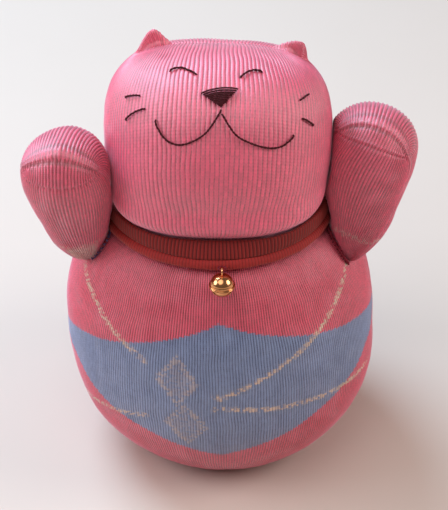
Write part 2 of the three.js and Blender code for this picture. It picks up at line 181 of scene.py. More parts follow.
def even(points, step):
    """The same curve with its points a fixed distance apart."""
    along = distance_along(points)
    at = np.linspace(0, along[-1], max(2, int(round(along[-1] / step)) + 1))
    return np.stack([np.interp(at, along, points[:, k]) for k in range(points.shape[1])], 1)


def lumps(points, wavelength, seed):
    """Smooth unevenness from about -1 to 1: a sum of waves in seeded directions."""
    rng = np.random.default_rng(seed)
    total = np.zeros(points.shape[:-1])
    for _ in range(LUMP_WAVES):
        direction = unit(rng.normal(size=3))
        scale = rng.uniform(0.75, 1.35) * TAU / wavelength
        total += np.sin(points @ direction * scale + rng.uniform(0, TAU))
    return total / math.sqrt(2 * LUMP_WAVES)


def turn_z(points, angle, centre):
    """Points turned anticlockwise about an upright axis."""
    c, s = math.cos(angle), math.sin(angle)
    q = points - centre
    return np.stack([c * q[..., 0] - s * q[..., 1], s * q[..., 0] + c * q[..., 1], q[..., 2]], -1) + centre


def turn_x(points, angle, centre):
    """Points turned about an axis along X, from the front downwards."""
    c, s = math.cos(angle), math.sin(angle)
    q = points - centre
    return np.stack([q[..., 0], c * q[..., 1] - s * q[..., 2], s * q[..., 1] + c * q[..., 2]], -1) + centre


def around_z(turn, radius, height):
    """Points at a turn from the front, a radius and a height."""
    return np.stack(np.broadcast_arrays(radius * np.sin(turn), -radius * np.cos(turn), height), -1)


def away_from_neck(points):
    """The level direction from the neck's axis to each point."""
    return unit((points - NECK) * [1, 1, 0])


# ---- Meshes ----

def new_object(name, vertices, faces, uv=None):
    """A smooth mesh in the scene, from vertices in millimetres and a UV for each face corner."""
    mesh = bpy.data.meshes.new(name)
    mesh.from_pydata((np.asarray(vertices) * MM).tolist(), [], faces)
    if uv is not None:
        layer = mesh.uv_layers.new(name="knit")
        layer.data.foreach_set("uv", np.asarray(uv, np.float32).ravel())
    mesh.shade_smooth()
    mesh.validate()
    obj = bpy.data.objects.new(name, mesh)
    bpy.context.scene.collection.objects.link(obj)
    return obj


def grid_faces(index, u, v):
    """Faces and corner UVs of rings of vertex numbers. Corners that share a vertex are merged."""
    rows, cols = index.shape
    faces, corners = [], []
    for i in range(rows - 1):
        for j in range(cols):
            k = (j + 1) % cols
            ring = [(index[i, j], u[j], v[i]), (index[i, k], u[j + 1], v[i]),
                    (index[i + 1, k], u[j + 1], v[i + 1]), (index[i + 1, j], u[j], v[i + 1])]
            kept = []
            for corner in ring:
                if all(corner[0] != other[0] for other in kept):
                    kept.append(corner)
            if len(kept) > 2:
                faces.append([int(c[0]) for c in kept])
                corners.extend((c[1], c[2]) for c in kept)
    return faces, corners


def grid_object(name, grid, courses=None, closed_start=False, closed_end=False, fold_end=None):
    """A tube from a grid of points (rows, columns). A closed end meets in one point.

    courses gives a knit's course at each row, and its UVs then count wales and courses. fold_end gives,
    for each column, the column that it is sewn to in the last row.
    """
    rows, cols = grid.shape[:2]
    index = np.arange(rows * cols).reshape(rows, cols)
    if closed_start:
        index[0] = index[0, 0]
    if closed_end:
        index[-1] = index[-1, 0]
    if fold_end is not None:
        index[-1] = np.minimum(index[-1], index[-1][fold_end])
    if courses is None:
        faces, corners = grid_faces(index, np.arange(cols + 1) / cols, np.linspace(0, 1, rows))
    else:
        faces, corners = grid_faces(index, np.arange(cols + 1) / PER_WALE, courses)
    used = np.unique(index)
    renumber = np.zeros(rows * cols, int)
    renumber[used] = np.arange(len(used))
    faces = [[int(renumber[c]) for c in f] for f in faces]
    return new_object(name, grid.reshape(-1, 3)[used], faces, corners)


def grid_normals(grid):
    """Unit normals of a grid, pointing outwards when columns go anticlockwise and rows go up."""
    across = np.roll(grid, -1, 1) - np.roll(grid, 1, 1)
    return unit(np.cross(across, np.gradient(grid, axis=0)))


def raised(grid, height):
    """The grid moved out along its normals by a height at each point."""
    return grid + grid_normals(grid) * np.asarray(height)[..., None]


def tube_rings(path, radius, sides, ply, pitch, phase=0.0):
    """Rings of a cord along a path. ply makes the two plies of a twisted thread stand out."""
    path = np.asarray(path, float)
    tangent = unit(np.gradient(path, axis=0))
    side = unit(np.cross(tangent[0], [0.31, 0.22, 0.92]))
    first_axes = []
    for t in tangent:
        side = unit(side - t * (side @ t))
        first_axes.append(side)
    e1 = np.array(first_axes)
    e2 = np.cross(tangent, e1)
    along = distance_along(path)
    turn = circle(sides)
    size = np.broadcast_to(radius, (len(path),))[:, None]
    size = size * (1 - ply + ply * np.cos(2 * (turn[None] - TAU * along[:, None] / (2 * pitch) - phase)))
    ring = e1[:, None] * np.cos(turn)[None, :, None] + e2[:, None] * np.sin(turn)[None, :, None]
    return path[:, None] + ring * size[..., None], along


class Builder:
    """Collects tubes into one mesh."""

    def __init__(self):
        self.vertices, self.faces, self.uv, self.count = [], [], [], 0

    def grid(self, rings, v, caps=False, close_rows=False):
        """Adds a tube of rings with flat caps, or one whose last ring joins the first."""
        rows, cols = rings.shape[:2]
        index = np.arange(rows * cols).reshape(rows, cols) + self.count
        if close_rows:
            index = np.vstack([index, index[:1]])
            v = np.append(v, 2 * v[-1] - v[-2])
        faces, corners = grid_faces(index, np.arange(cols + 1) / cols, v)
        if caps:
            for row in (index[0][::-1], index[-1]):
                faces.append([int(k) for k in row])
                corners.extend((c / cols, 0) for c in range(cols))
        self.vertices.append(rings.reshape(-1, 3))
        self.faces += faces
        self.uv += corners
        self.count += rows * cols

    def cord(self, path, radius, sides, ply, pitch, phase=0.0):
        rings, along = tube_rings(path, radius, sides, ply, pitch, phase)
        self.grid(rings, along, caps=True)

    def build(self, name):
        return new_object(name, np.vstack(self.vertices), self.faces, self.uv)


# ---- Stuffing pressure ----

def blown_up(coarse, held_rows):
    """Where a coarse grid of cloth settles when the stuffing presses on it and its held rows are sewn."""
    scale = SIMULATION_SCALE * MM
    index = np.arange(coarse.shape[0] * coarse.shape[1]).reshape(coarse.shape[:2])
    beside = np.roll(index, -1, 1)
    corners = np.stack([index[:-1], beside[:-1], beside[1:], index[1:]], -1)
    mesh = bpy.data.meshes.new("stuffing_cloth")
    mesh.from_pydata((coarse.reshape(-1, 3) * scale).tolist(), [], corners.reshape(-1, 4).tolist())
    piece = bpy.data.objects.new("stuffing_cloth", mesh)
    bpy.context.scene.collection.objects.link(piece)
    group = piece.vertex_groups.new(name="sewn")
    group.add([int(k) for row in held_rows for k in index[row]], 1.0, "REPLACE")
    cloth = piece.modifiers.new("knit", "CLOTH").settings
    cloth.use_pressure = True
    cloth.uniform_pressure_force = STUFFING_PRESSURE
    cloth.effector_weights.gravity = 0
    cloth.vertex_group_mass = "sewn"
    for number in range(1, STUFFING_FRAMES + 1):
        bpy.context.scene.frame_set(number)
    settled = piece.evaluated_get(bpy.context.evaluated_depsgraph_get()).data
    moved = np.array([v.co for v in settled.vertices]) / scale
    bpy.data.objects.remove(piece)
    bpy.context.scene.frame_set(1)
    return moved.reshape(coarse.shape)


def stuffed(grid, held_rows):
    """The knit blown up by the stuffing's pressure. No point moves further than SWELL.
    """
    rows = np.unique(np.append(np.arange(0, len(grid), COARSE_ROWS), len(grid) - 1))
    columns = np.arange(0, grid.shape[1], COARSE_COLUMNS)
    coarse = grid[np.ix_(rows, columns)]
    shift = blown_up(coarse, held_rows) - coarse
    length = np.linalg.norm(shift, axis=-1, keepdims=True)
    shift = shift * np.minimum(1, SWELL / np.maximum(length, 1e-6))
    full = np.empty_like(grid)
    around = np.append(columns, grid.shape[1])
    every_row, every_column = np.arange(len(grid)), np.arange(grid.shape[1])
    for k in range(3):
        wide = np.array([np.interp(every_column, around, np.append(r, r[0])) for r in shift[..., k]])
        full[..., k] = np.array([np.interp(every_row, rows, line) for line in wide.T]).T
    return grid + full


# ---- Body ----

def body_profile():
    """The side's outline as radius, height and the distance along it from the edge of the base."""
    outline = even(spline(BODY_OUTLINE, 60), 0.25)
    return outline[:, 0], outline[:, 1], distance_along(outline)


PROFILE_RADIUS, PROFILE_HEIGHT, PROFILE_ALONG = body_profile()
BODY_LENGTH = PROFILE_ALONG[-1]


def settle(points):
    """The stuffed body leans towards the neck's middle, and its shoulders rise in front with the collar."""
    height = points[..., 2:] / NECK[2]
    z = points[..., 2]
    shoulder = smoothstep(z, 92, 112) * fade(z, 114.5, 118)
    moved = points + NECK * height * [1, 1, 0]
    moved[..., 2] = z - points[..., 1] * math.tan(COLLAR_SLOPE) * shoulder
    return moved


def body_radius_at(z):
    return np.interp(z, PROFILE_HEIGHT, PROFILE_RADIUS)


def body_grid(columns, along, inset=0.0):
    """Points of the body's side. along is measured from the edge of the base; less than 0 is under it."""
    turn = circle(columns) - math.pi
    radius = np.where(along < 0, BASE_RADIUS + along, np.interp(along, PROFILE_ALONG, PROFILE_RADIUS))
    height = np.where(along < 0, 0, np.interp(along, PROFILE_ALONG, PROFILE_HEIGHT))
    slope_r, slope_z = np.gradient(radius), np.gradient(height)
    length = np.hypot(slope_r, slope_z)
    radius = np.maximum(radius - inset * slope_z / length, 0.2)
    height = height + inset * slope_r / length
    return settle(around_z(turn[None], radius[:, None], height[:, None])), turn


def uneven_wales(grid, seed):
    """Hand-stretched knit: its wales stand up more in some places than in others."""
    return 1 + 0.3 * lumps(grid, 9, seed)


def wander(grid, seed, amount=0.3):
    """Wales of a stretched sock don't run quite straight."""
    across = unit(np.roll(grid, -1, 1) - np.roll(grid, 1, 1))
    return grid + across * (amount * lumps(grid, 15, seed))[..., None]


def hem(rim, steps):
    """Rows of knit tucked into the neck at the rim: each step says how far in and how far up a row lies."""
    return np.array([rim - away_from_neck(rim) * inwards + [0, 0, up] for inwards, up in steps])


def body_swell(grid, along):
    """How the stuffing bulges the knit in soft lumps between the base and the shoulders."""
    side = smoothstep(along, 6, 30) * fade(along, BODY_LENGTH - 22, BODY_LENGTH - 8)
    return (0.55 * lumps(grid, 52, 3) + 0.22 * lumps(grid, 21, 4)) * side[:, None]


def argyle_relief(turn, s):
    """The diamond's edge stands up very slightly, where the floats of the other yarn lie behind it."""
    across = np.degrees(turn)
    folded = np.abs((across + 90) % 180 - 90)
    inside = folded / DIAMOND_WIDE + np.abs(s - DIAMOND_MIDDLE - DIAMOND_LEAN * across) / DIAMOND_HIGH
    return hump(inside, 1, 0.03)


def make_body():
    """The body's sock: ribs, a gathered base and a hem in the neck."""
    columns = BODY_WALES * PER_WALE
    along = np.concatenate([np.linspace(1.2 - BASE_RADIUS, 0, 20)[:-1], np.linspace(0, BODY_LENGTH, 98)])
    grid, turn = body_grid(columns, along)
    loose = smoothstep(along, 0, 12) * fade(along, BODY_LENGTH - 12, BODY_LENGTH - 4)
    grid = raised(grid, -(SWELL * loose)[:, None])
    grid = raised(grid, body_swell(grid, along))
    grid = stuffed(grid, (*range(8), -3, -2, -1))
    grid = wander(grid, 6, 0.2)
    s = along[:, None]
    wale = np.arange(columns)[None] / PER_WALE
    rib = 0.21 * smoothstep(s, -34, -8) * fade(s, BODY_LENGTH - 3, BODY_LENGTH - 1)
    relief = rib * (np.cos(TAU * wale) * uneven_wales(grid, 5) - 0.4)
    gathers = 0.5 + 0.5 * np.cos(turn[None] * 23 + 0.6 * np.sin(turn[None] * 3))
    relief = relief - 0.9 * fade(s, -30, 2) * smoothstep(s, -35, -31) * gathers
    relief = relief - 2.2 * fade(s, -35, -27)
    relief = relief + argyle_relief(turn[None], s) * 0.05
    grid = raised(grid, relief)
    grid[..., 2] = np.maximum(grid[..., 2], 0.02)
    drop = np.array([0.0, 0.5, 2.0, 4.0, 6.0])
    full = np.concatenate([grid, hem(grid[-1], zip([0.7, 1.2, 1.3, 1.3, 1.3], -drop))])
    courses = np.concatenate([along, BODY_LENGTH + drop + 0.7]) / BODY_COURSE
    return grid_object("body_knit", full, courses, closed_start=True)


# ---- Head ----

def head_axes():
    """The face's directions across, up and forward."""
    cy, sy, cx, sx = math.cos(HEAD_ROLL), math.sin(HEAD_ROLL), math.cos(-HEAD_TILT), math.sin(-HEAD_TILT)
    tilt = np.array([[1, 0, 0], [0, cx, -sx], [0, sx, cx]])
    roll = np.array([[cy, 0, sy], [0, 1, 0], [-sy, 0, cy]])
    turned = tilt @ roll
    return turned @ [1, 0, 0], turned @ [0, 0, 1], turned @ [0, -1, 0]


ACROSS, UP, FORWARD = head_axes()


def face_outline(across, up):
    """How far out a place on the face is: 0 in the middle and 1 on the head's outline."""
    high = np.abs(up) / np.where(up > 0, HEAD_TOP, HEAD_BOTTOM)
    wide = np.abs(across) / HEAD_HALF_WIDTH
    return (wide ** HEAD_SQUARENESS + high ** HEAD_SQUARENESS) ** (HEAD_FULLNESS / HEAD_SQUARENESS)


def head_reach(direction):
    """How far the head reaches from its centre along unit directions."""
    forward = direction @ FORWARD
    deep = np.abs(forward) / np.where(forward > 0, HEAD_FRONT, HEAD_BACK)
    outline = face_outline(direction @ ACROSS, direction @ UP)
    plain = (outline + deep ** HEAD_FULLNESS) ** (-1 / HEAD_FULLNESS)
    level = np.maximum(np.hypot(direction[..., 0], direction[..., 1]), 1e-6)
    neck = np.minimum((NECK_RADIUS - 1) / level, 60)
    filled = (plain ** 24 + neck ** 24) ** (1 / 24)
    return lerp(plain, filled, smoothstep(-direction[..., 2], 0.1, 0.55))


def face_point(across, up, lift):
    """Points of the face: across and up are measured on the tilted face, lift is height above the knit."""
    deep = HEAD_FRONT * (1 - face_outline(across, up)) ** (1 / HEAD_FULLNESS)
    offset = across[..., None] * ACROSS + up[..., None] * UP + deep[..., None] * FORWARD
    direction = unit(offset)
    return HEAD_CENTRE + direction * (head_reach(direction) + lift)[..., None]


def head_direction(theta, psi):
    """The unit direction of the knit's column theta at the latitude psi. Columns end on the top seam."""
    seam_share, depth = 0.80, 42  # the seam's share of the head's width, and how far columns bow forward
    upper = psi > 0
    width = HEAD_HALF_WIDTH * np.where(upper, (1 - seam_share) * np.cos(psi) + seam_share, np.cos(psi))
    height = np.where(upper, HEAD_TOP, HEAD_BOTTOM) * np.sin(psi)
    side, ahead = width * np.sin(theta), depth * np.cos(psi) * np.cos(theta)
    return unit(side[..., None] * ACROSS + height[..., None] * UP + ahead[..., None] * FORWARD)


def head_grid(columns, rows, inset, rim=HEAD_RIM):
    """Points of the head from its open rim at the neck up to the seam over its top."""
    theta = circle(columns) - math.pi
    fine = np.linspace(-1.45, math.pi / 2, 360)
    direction = head_direction(theta[None], fine[:, None] + 0 * theta[None])
    points = HEAD_CENTRE + direction * (head_reach(direction) - inset)[..., None]
    grid = np.zeros((rows, columns, 3))
    share = np.linspace(0, 1, rows)
    for j in range(columns):
        line = points[:, j]
        below = np.where(line[:, 2] < rim)[0]
        start = below[-1] if len(below) else 0
        cut = (rim - line[start, 2]) / max(line[start + 1, 2] - line[start, 2], 1e-6)
        line = np.vstack([lerp(line[start], line[start + 1], cut), line[start + 1:]])
        along = distance_along(line)
        for k in range(3):
            grid[:, j, k] = np.interp(share * along[-1], along, line[:, k])
    return grid, share


def raise_ears(grid):
    """Pulls the corners of the head up into pinched ears with a shallow hollow in front."""
    for ear in EARS:
        axis = np.array([math.sin(ear["splay"]), 0, math.cos(ear["splay"])])
        level = np.array([math.cos(ear["splay"]), 0, -math.sin(ear["splay"])])
        offset = grid - ear["tip"]
        height, side, depth = offset @ axis, offset @ level, offset[..., 1]
        flare = np.where(side < 0, ear["flare"], 0.95)
        ratio = np.hypot(side / (EAR_RADIUS * flare), depth / EAR_DEPTH)
        outline = np.interp(ratio, *EAR_OUTLINE)
        target = EAR_HEIGHT * (outline - 1) - ear["blunt"] * hump(ratio, 0, 0.25)
        target = target - 5.0 * hump(side, 0, 3.0) * hump(depth, -3.1, 1.8)
        near = (ratio < 1.6) & (height > -26)
        lift = np.where(near, soft_most(height, target, 0.8) - height, 0)
        grid = grid + lift[..., None] * axis
    return grid


def chin(grid):
    """The stuffing bulges the chin forward over the collar."""
    front = smoothstep(-(grid[..., 1] - NECK[1]) / 42, 0.2, 0.85)
    return 3.4 * front * hump(grid[..., 2], 136.5, 5.0)


def sewn_end(row, partner):
    """The last row of a knit, with each column brought to the column that it is sewn to."""
    return (row + row[partner]) / 2


def make_head():
    """The head's knit: ribs, ears, the seam over its top and a hem in the neck."""
    columns, rows, seam = HEAD_WALES * PER_WALE, 104, 0.985
    grid, share = head_grid(columns, rows, SWELL)
    grid[0] = grid[0] + away_from_neck(grid[0]) * SWELL
    t = share[:, None]
    grid = raised(grid, (0.4 * lumps(grid, 48, 11) + 0.15 * lumps(grid, 19, 12)) * smoothstep(t, 0.06, 0.3))
    grid = stuffed(grid, (0, -1))
    grid = raised(grid, chin(grid))
    grid = wander(raise_ears(grid), 14)
    wale = np.arange(columns)[None] / PER_WALE
    rib = (0.10 + 0.07 * smoothstep(t, 0.35, 0.7)) * smoothstep(t, 0.0, 0.03) * fade(t, 0.97, 1.0)
    relief = rib * np.cos(TAU * wale) * uneven_wales(grid, 13)
    every_other = 0.5 + 0.5 * np.cos(TAU * wale / 2)
    ridge = 0.75 * hump(t, seam, 0.008) - 0.9 * smoothstep(t, seam, 1)
    grid = raised(grid, relief + ridge * (0.6 + 0.4 * every_other))
    partner = (columns // 2 - np.arange(columns)) % columns
    grid[-1] = sewn_end(grid[-1], partner)
    full = np.concatenate([hem(grid[0], [(1.3, 5.0), (1.3, 2.5), (1.2, 0.6), (0.7, 0.1)]), grid])
    courses = np.concatenate([np.array([-5.0, -2.5, -1.0, -0.6]) / HEAD_COURSE, share * HEAD_COURSES])
    return grid_object("head_knit", full, courses, fold_end=partner)


# ---- Arms ----

def arm_axes(arm):
    along = unit(arm["towards"] - arm["root"])
    across = unit(np.array([1, 0, 0]) - along * along[0])
    return along, across, np.cross(along, across)


def arm_profile(share):
    """The arm's radius at a share of its length, as a share of its greatest radius."""
    def radius(s):
        return s ** ARM_TAPER * np.sqrt(np.maximum(0, 1 - s ** ARM_BLUNTNESS))
    widest = (ARM_TAPER / (ARM_TAPER + ARM_BLUNTNESS / 2)) ** (1 / ARM_BLUNTNESS)
    return radius(share) / radius(widest)


def arm_point(arm, share, turn, inset):
    """Points at a share of the arm's length and a turn about it, inset from its plain shape."""
    along, across, back = arm_axes(arm)
    radius = arm_profile(share) * (arm["radius"] - inset)
    point = arm["root"] + (inset + share * (arm["length"] - 2 * inset))[..., None] * along
    return point + (radius * np.cos(turn))[..., None] * across + (radius * np.sin(turn))[..., None] * back


def paw_map(arm, theta, t):
    """Where the knit's column theta is at t: t is 0 on the toe seam and 1 at the arm's root."""
    seam = arm["seam"]
    deep = math.pi * t
    p = np.sqrt(seam ** 2 + (math.pi ** 2 - seam ** 2) * t ** 2) * np.cos(theta)
    q = deep * np.sin(theta)
    c, s = math.cos(arm["seam_turn"]), math.sin(arm["seam_turn"])
    p, q = c * p - s * q, s * p + c * q
    q = q - arm["seam_forward"] * fade(t, 0, 0.5)
    angle = np.minimum(np.hypot(p, q), math.pi * 0.998)
    turn = np.arctan2(q, p) + arm["twist"] * smoothstep(t, 0, 1)
    return (1 + np.cos(angle)) / 2, turn, deep


def push_out_of_head(points, clearance):
    """Moves points away from the head's centre until they clear the head."""
    offset = points - HEAD_CENTRE
    distance = np.linalg.norm(offset, axis=-1)
    direction = offset / np.maximum(distance, 1e-6)[..., None]
    return HEAD_CENTRE + direction * soft_most(distance, head_reach(direction) + clearance, 0.25)[..., None]


def height_over_collar(points):
    return points[..., 2] - COLLAR_HEIGHT + (points[..., 1] - NECK[1]) * math.tan(COLLAR_SLOPE)


def push_out_of_body(points, clearance):
    """Moves points sideways until they clear the body, and the collar round its neck."""
    z = points[..., 2]
    centre = NECK[:2] * (z / NECK[2])[..., None]
    offset = points[..., :2] - centre
    distance = np.hypot(offset[..., 0], offset[..., 1])
    lift = -offset[..., 1] * math.tan(COLLAR_SLOPE) * smoothstep(z, 92, 112) * fade(z, 116, 122)
    body = np.where(z < 119.5, body_radius_at(np.clip(z - lift, 0, 119)), 0)
    collar = np.interp(height_over_collar(points), *COLLAR_FILLS)
    out = soft_most(distance, np.maximum(body, collar) + clearance, 0.35)
    moved = centre + offset * (out / np.maximum(distance, 1e-6))[..., None]
    return np.concatenate([moved, z[..., None]], -1)


def clear_of_neighbours(arm, points, clearance):
    """Keeps the arm clear of the head and body while it nods and the head twists."""
    for swing in (0.0, ARM_SWING / 2, ARM_SWING):
        posed = turn_x(points, swing, arm["hinge"])
        for twist in (-0.7 * HEAD_TURN, 0.0, 0.7 * HEAD_TURN):
            turned = push_out_of_head(turn_z(posed, -twist, NECK), clearance)
            posed = turn_z(turned, twist, NECK)
        points = turn_x(posed, -swing, arm["hinge"])
    return push_out_of_body(points, clearance)


def paw_swell(arm, grid, share, turn):
    """How the stuffing fills a paw: lumps, a full outer side, a rounded tip and a pinched nub."""
    seed = arm["seed"]
    swell = 0.35 * lumps(grid, 30, seed) + 0.15 * lumps(grid, 13, seed + 1)
    outward = np.clip(np.cos(turn) * arm["outside"], 0, 1)
    swell = swell + arm["fullness"] * outward * hump(share, 0.24, 0.17)
    angle = np.arccos(np.clip(2 * share - 1, -1, 1))
    across, ahead = angle * np.cos(turn), angle * np.sin(turn) + arm["seam_forward"]
    swell = swell + 1.3 * hump(np.hypot(across, ahead + 0.05), 0, 0.5)
    return swell + arm["pinch"] * np.exp(-(np.hypot(across - 0.05, ahead - 0.04) / 0.2) ** 1.6)


def paw_relief(arm, grid, theta, t, deep):
    """A paw's ribs, its toe seam, and in front a pocket line with eyelets."""
    wale = np.arange(grid.shape[1])[None] / PER_WALE
    every_other = 0.5 + 0.5 * np.cos(TAU * wale / 2)
    turned = np.abs(np.sin(theta))[None]
    away = deep * turned
    rib = 0.32 * smoothstep(away, 0.0, 0.08) * (1 - 0.75 * smoothstep(t, 0.75, 0.97))
    relief = rib * np.cos(TAU * wale) * uneven_wales(grid, arm["seed"] + 2)
    front = smoothstep(-np.sin(theta), 0.05, 0.3)[None]
    pocket = deep - arm["pocket"] * np.sqrt(turned)
    relief = relief - 0.75 * front * hump(pocket, 0, 0.04) * (0.2 + 0.8 * every_other)
    relief = relief + 0.35 * front * hump(pocket, -0.06, 0.035)
    relief = relief + smoothstep(turned, 0.0, 0.25) * hump(away, 0.03, 0.03) * (0.45 + 0.3 * every_other)
    return relief - 0.75 * front * hump(away, 0.11, 0.03) * every_other


def make_arm(side):
    """A paw's knit, from the toe seam at its tip to its root. Its rows go down, so its normals go in."""
    arm = ARMS[side]
    columns, rows = ARM_WALES * PER_WALE, 96
    theta = circle(columns) - math.pi
    t = np.linspace(0, 1, rows)[:, None]
    share, turn, deep = paw_map(arm, theta[None] + 0 * t, t + 0 * theta[None])
    grid = arm_point(arm, share, turn, SWELL)
    grid = raised(grid, -paw_swell(arm, grid, share, turn))
    grid = stuffed(grid[::-1], (0, 1, -1))[::-1]
    grid = clear_of_neighbours(arm, grid, ARM_CLEARANCE)
    grid = raised(grid, -paw_relief(arm, grid, theta, t, deep))
    partner = (columns - np.arange(columns)) % columns
    grid[0] = sewn_end(grid[0], partner)
    courses = (1 - t[::-1, 0]) * PAW_COURSES
    return grid_object(f"arm_{side}_knit", grid[::-1], courses, closed_start=True, fold_end=partner)


# ---- Wadding ----

def crumpled(grid, depth, unevenness, wavelength, seed):
    """The wadding's uneven outside."""
    return raised(grid, -(depth + unevenness * lumps(grid, wavelength, seed)))


def make_wadding():
    """The wadding in the body, the head and both paws, just inside their skins."""
    made = {}
    along = np.concatenate([np.linspace(2 - BASE_RADIUS, 0, 8)[:-1], np.linspace(0, BODY_LENGTH - 1.5, 40)])
    grid = crumpled(body_grid(96, along, WADDING_INSET)[0], 0.6, 0.5, 17, 41)
    top = np.array([lerp(grid[-1], NECK - [0, 0, 1.0], w) for w in (0.4, 0.8, 1)])
    full = np.concatenate([grid, top])
    made["body"] = grid_object("body_wadding", full, closed_start=True, closed_end=True)

    grid = crumpled(head_grid(96, 48, WADDING_INSET, HEAD_RIM + 0.6)[0], 0.6, 0.5, 17, 42)
    partner = (48 - np.arange(96)) % 96
    grid[-1] = sewn_end(grid[-1], partner)
    floor = np.array([lerp(NECK + [0, 0, 1.0], grid[0], w) for w in (0, 0.4, 0.8)])
    full = np.concatenate([floor, grid])
    made["head"] = grid_object("head_wadding", full, closed_start=True, fold_end=partner)

    for side, arm in ARMS.items():
        share = ((1 - np.cos(np.linspace(0.02, math.pi - 0.02, 36))) / 2)[:, None]
        turn = (circle(48) - math.pi)[None]
        grid = arm_point(arm, share + 0 * turn, turn + 0 * share, PAW_WADDING_INSET)
        grid = clear_of_neighbours(arm, grid, PAW_WADDING_INSET)
        grid = crumpled(grid, 0.5, 0.4, 13, 43)
        made[side] = grid_object(f"arm_{side}_wadding", grid, closed_start=True, closed_end=True)
    return made


# ---- Embroidery ----

FACE_LINES = {
    "eye_thread_left": [(-20, 29.8), (-16.2, 31), (-12.5, 30.5), (-9, 29.2)],
    "eye_thread_right": [(8.4, 28.8), (11.4, 30.4), (14, 30.9), (17.2, 30.4)],
    "mouth_thread_left": [(0.9, 17.2), (0.4, 15.8), (-4.6, 8.4), (-10.2, 4.5), (-15.7, 3), (-20.4, 4.6),
                          (-23.7, 8.7), (-25, 12)],
    "mouth_thread_right": [(1.4, 15.6), (6.7, 8.1), (12.2, 4.8), (18.8, 2.6), (24, 2.4), (27.7, 4.1),
                           (30.4, 6.8)],
    "whisker_thread_left_upper": [(-37.7, 18.3), (-34.7, 19.6), (-31.6, 20.2)],
    "whisker_thread_left_lower": [(-37.2, 9.8), (-33.9, 13.3), (-29.4, 15.8)],
    "whisker_thread_right_upper": [(32.6, 19.9), (34.5, 20.9), (36.4, 21.6)],
    "whisker_thread_right_lower": [(33.7, 12.9), (36, 11.3), (38.4, 9.3)],
}
THREAD_RADIUS = 0.48
THREAD_LIFT = 0.50  # how high a face line's middle lies over the plain head
BACKSTITCH = 4.2  # length of one stitch of a face line
NOSE_TOP = [(-6.9, 22.9), (-3.6, 24.0), (0.6, 24.75), (4.4, 24.9), (7.4, 24.7)]
NOSE_TIP = np.array([0.9, 18.3])


def make_face_line(name, points):
    """A backstitched line: each stitch lies on the knit and dips into it at its two ends."""
    line = even(spline(points, 24), 0.28)
    along = distance_along(line)
    length = along[-1] / max(1, round(along[-1] / BACKSTITCH))
    from_hole = np.minimum(along % length, length - along % length)
    from_end = np.minimum(along, along[-1] - along)
    dip = 0.34 * hump(from_hole, 0, 0.45) + 0.5 * hump(from_end, 0, 0.4)
    path = face_point(line[:, 0], line[:, 1], THREAD_LIFT - dip)
    made = Builder()
    made.cord(path, THREAD_RADIUS * (1 - 0.16 * hump(from_hole, 0, 0.6)), sides=12, ply=0.17, pitch=1.5)
    return made.build(name + "_stitches")


def make_nose():
    """A satin-stitched triangle, point down: threads laid close together, side to side."""
    made = Builder()
    rows = 12
    top = spline(NOSE_TOP, 10)
    for i in range(rows):
        share = i / (rows - 1)
        line = lerp(top, NOSE_TIP, share)
        bow = np.clip(1 - np.linspace(-1, 1, len(line)) ** 2, 0, 1)
        up = line[:, 1] - 1.5 * bow * share * (1 - share) + 0.06 * math.sin(i * 5.1)
        lift = 0.24 + 0.55 * np.sqrt(bow) * (1 - 0.5 * share) + 0.08 * math.sin(i * 2.4)
        made.cord(face_point(line[:, 0], up, lift), 0.38, sides=8, ply=0.10, pitch=1.9, phase=i * 1.3)
    return made.build("nose_satin_stitches")


# ---- Collar ----

def collar_place(points):
    """Moves points from the collar's own level frame to its sloping place round the neck."""
    return turn_x(points, -COLLAR_SLOPE, np.zeros(3)) + [NECK[0], NECK[1], COLLAR_HEIGHT]


def make_collar_roll():
    """The collar's lower edge: knit that curls over into a roll."""
    count, sides, ribs_around = 900, 20, 225
    turn = circle(count)
    section = circle(sides)
    uneven = 1 + 0.035 * np.sin(turn * 9 + 1) + 0.03 * np.sin(turn * 23 + 2)
    ribs = 1 + 0.012 * np.cos(turn * ribs_around)
    size = ROLL_RADIUS * uneven[:, None] * ribs[:, None] * (1 - 0.05 * np.cos(2 * (section[None] - 0.5)))
    radius = COLLAR_RADIUS - 0.1 + size * np.cos(section)[None]
    points = around_z(turn[:, None], radius, size * np.sin(section)[None])
    made = Builder()
    made.grid(collar_place(points)[:, ::-1], np.arange(count) * ribs_around / count, close_rows=True)
    return made.build("collar_roll_knit")


def head_edge(points):
    """How far the head reaches sideways from the neck's axis, at each point's height and heading."""
    heading = away_from_neck(points)
    reach = np.full(points.shape[:-1], 20.0)
    centre = np.stack(np.broadcast_arrays(NECK[0], NECK[1], points[..., 2]), -1)
    for _ in range(170):
        offset = centre + heading * reach[..., None] - HEAD_CENTRE
        distance = np.linalg.norm(offset, axis=-1)
        inside = distance < head_reach(offset / distance[..., None])
        reach = reach + 0.25 * inside
    return reach


def band_inside(height):
    """The radius of the band's inner side at a height over the roll's middle."""
    return BAND_RADIUS - BAND_LEAN * (height - BAND_FROM)


def band_section():
    """The band's section as radius and height: up the ribbed outside, over the top, down the inside."""
    out = np.linspace(BAND_FROM - 0.2, BAND_TO - 0.4, 12)
    outer = band_inside(out) + BAND_THICKNESS + 0.35 * np.sin(np.linspace(0, math.pi, 12))
    top = [(outer[-1] - 0.55, BAND_TO - 0.05), (outer[-1] - 1.2, BAND_TO)]
    inner = [(band_inside(h) + 0.1, h) for h in np.linspace(BAND_TO - 0.6, BAND_FROM, 8)]
    return np.array([*zip(outer, out), *top, *inner, (BAND_RADIUS + 0.5, BAND_FROM - 0.35)])


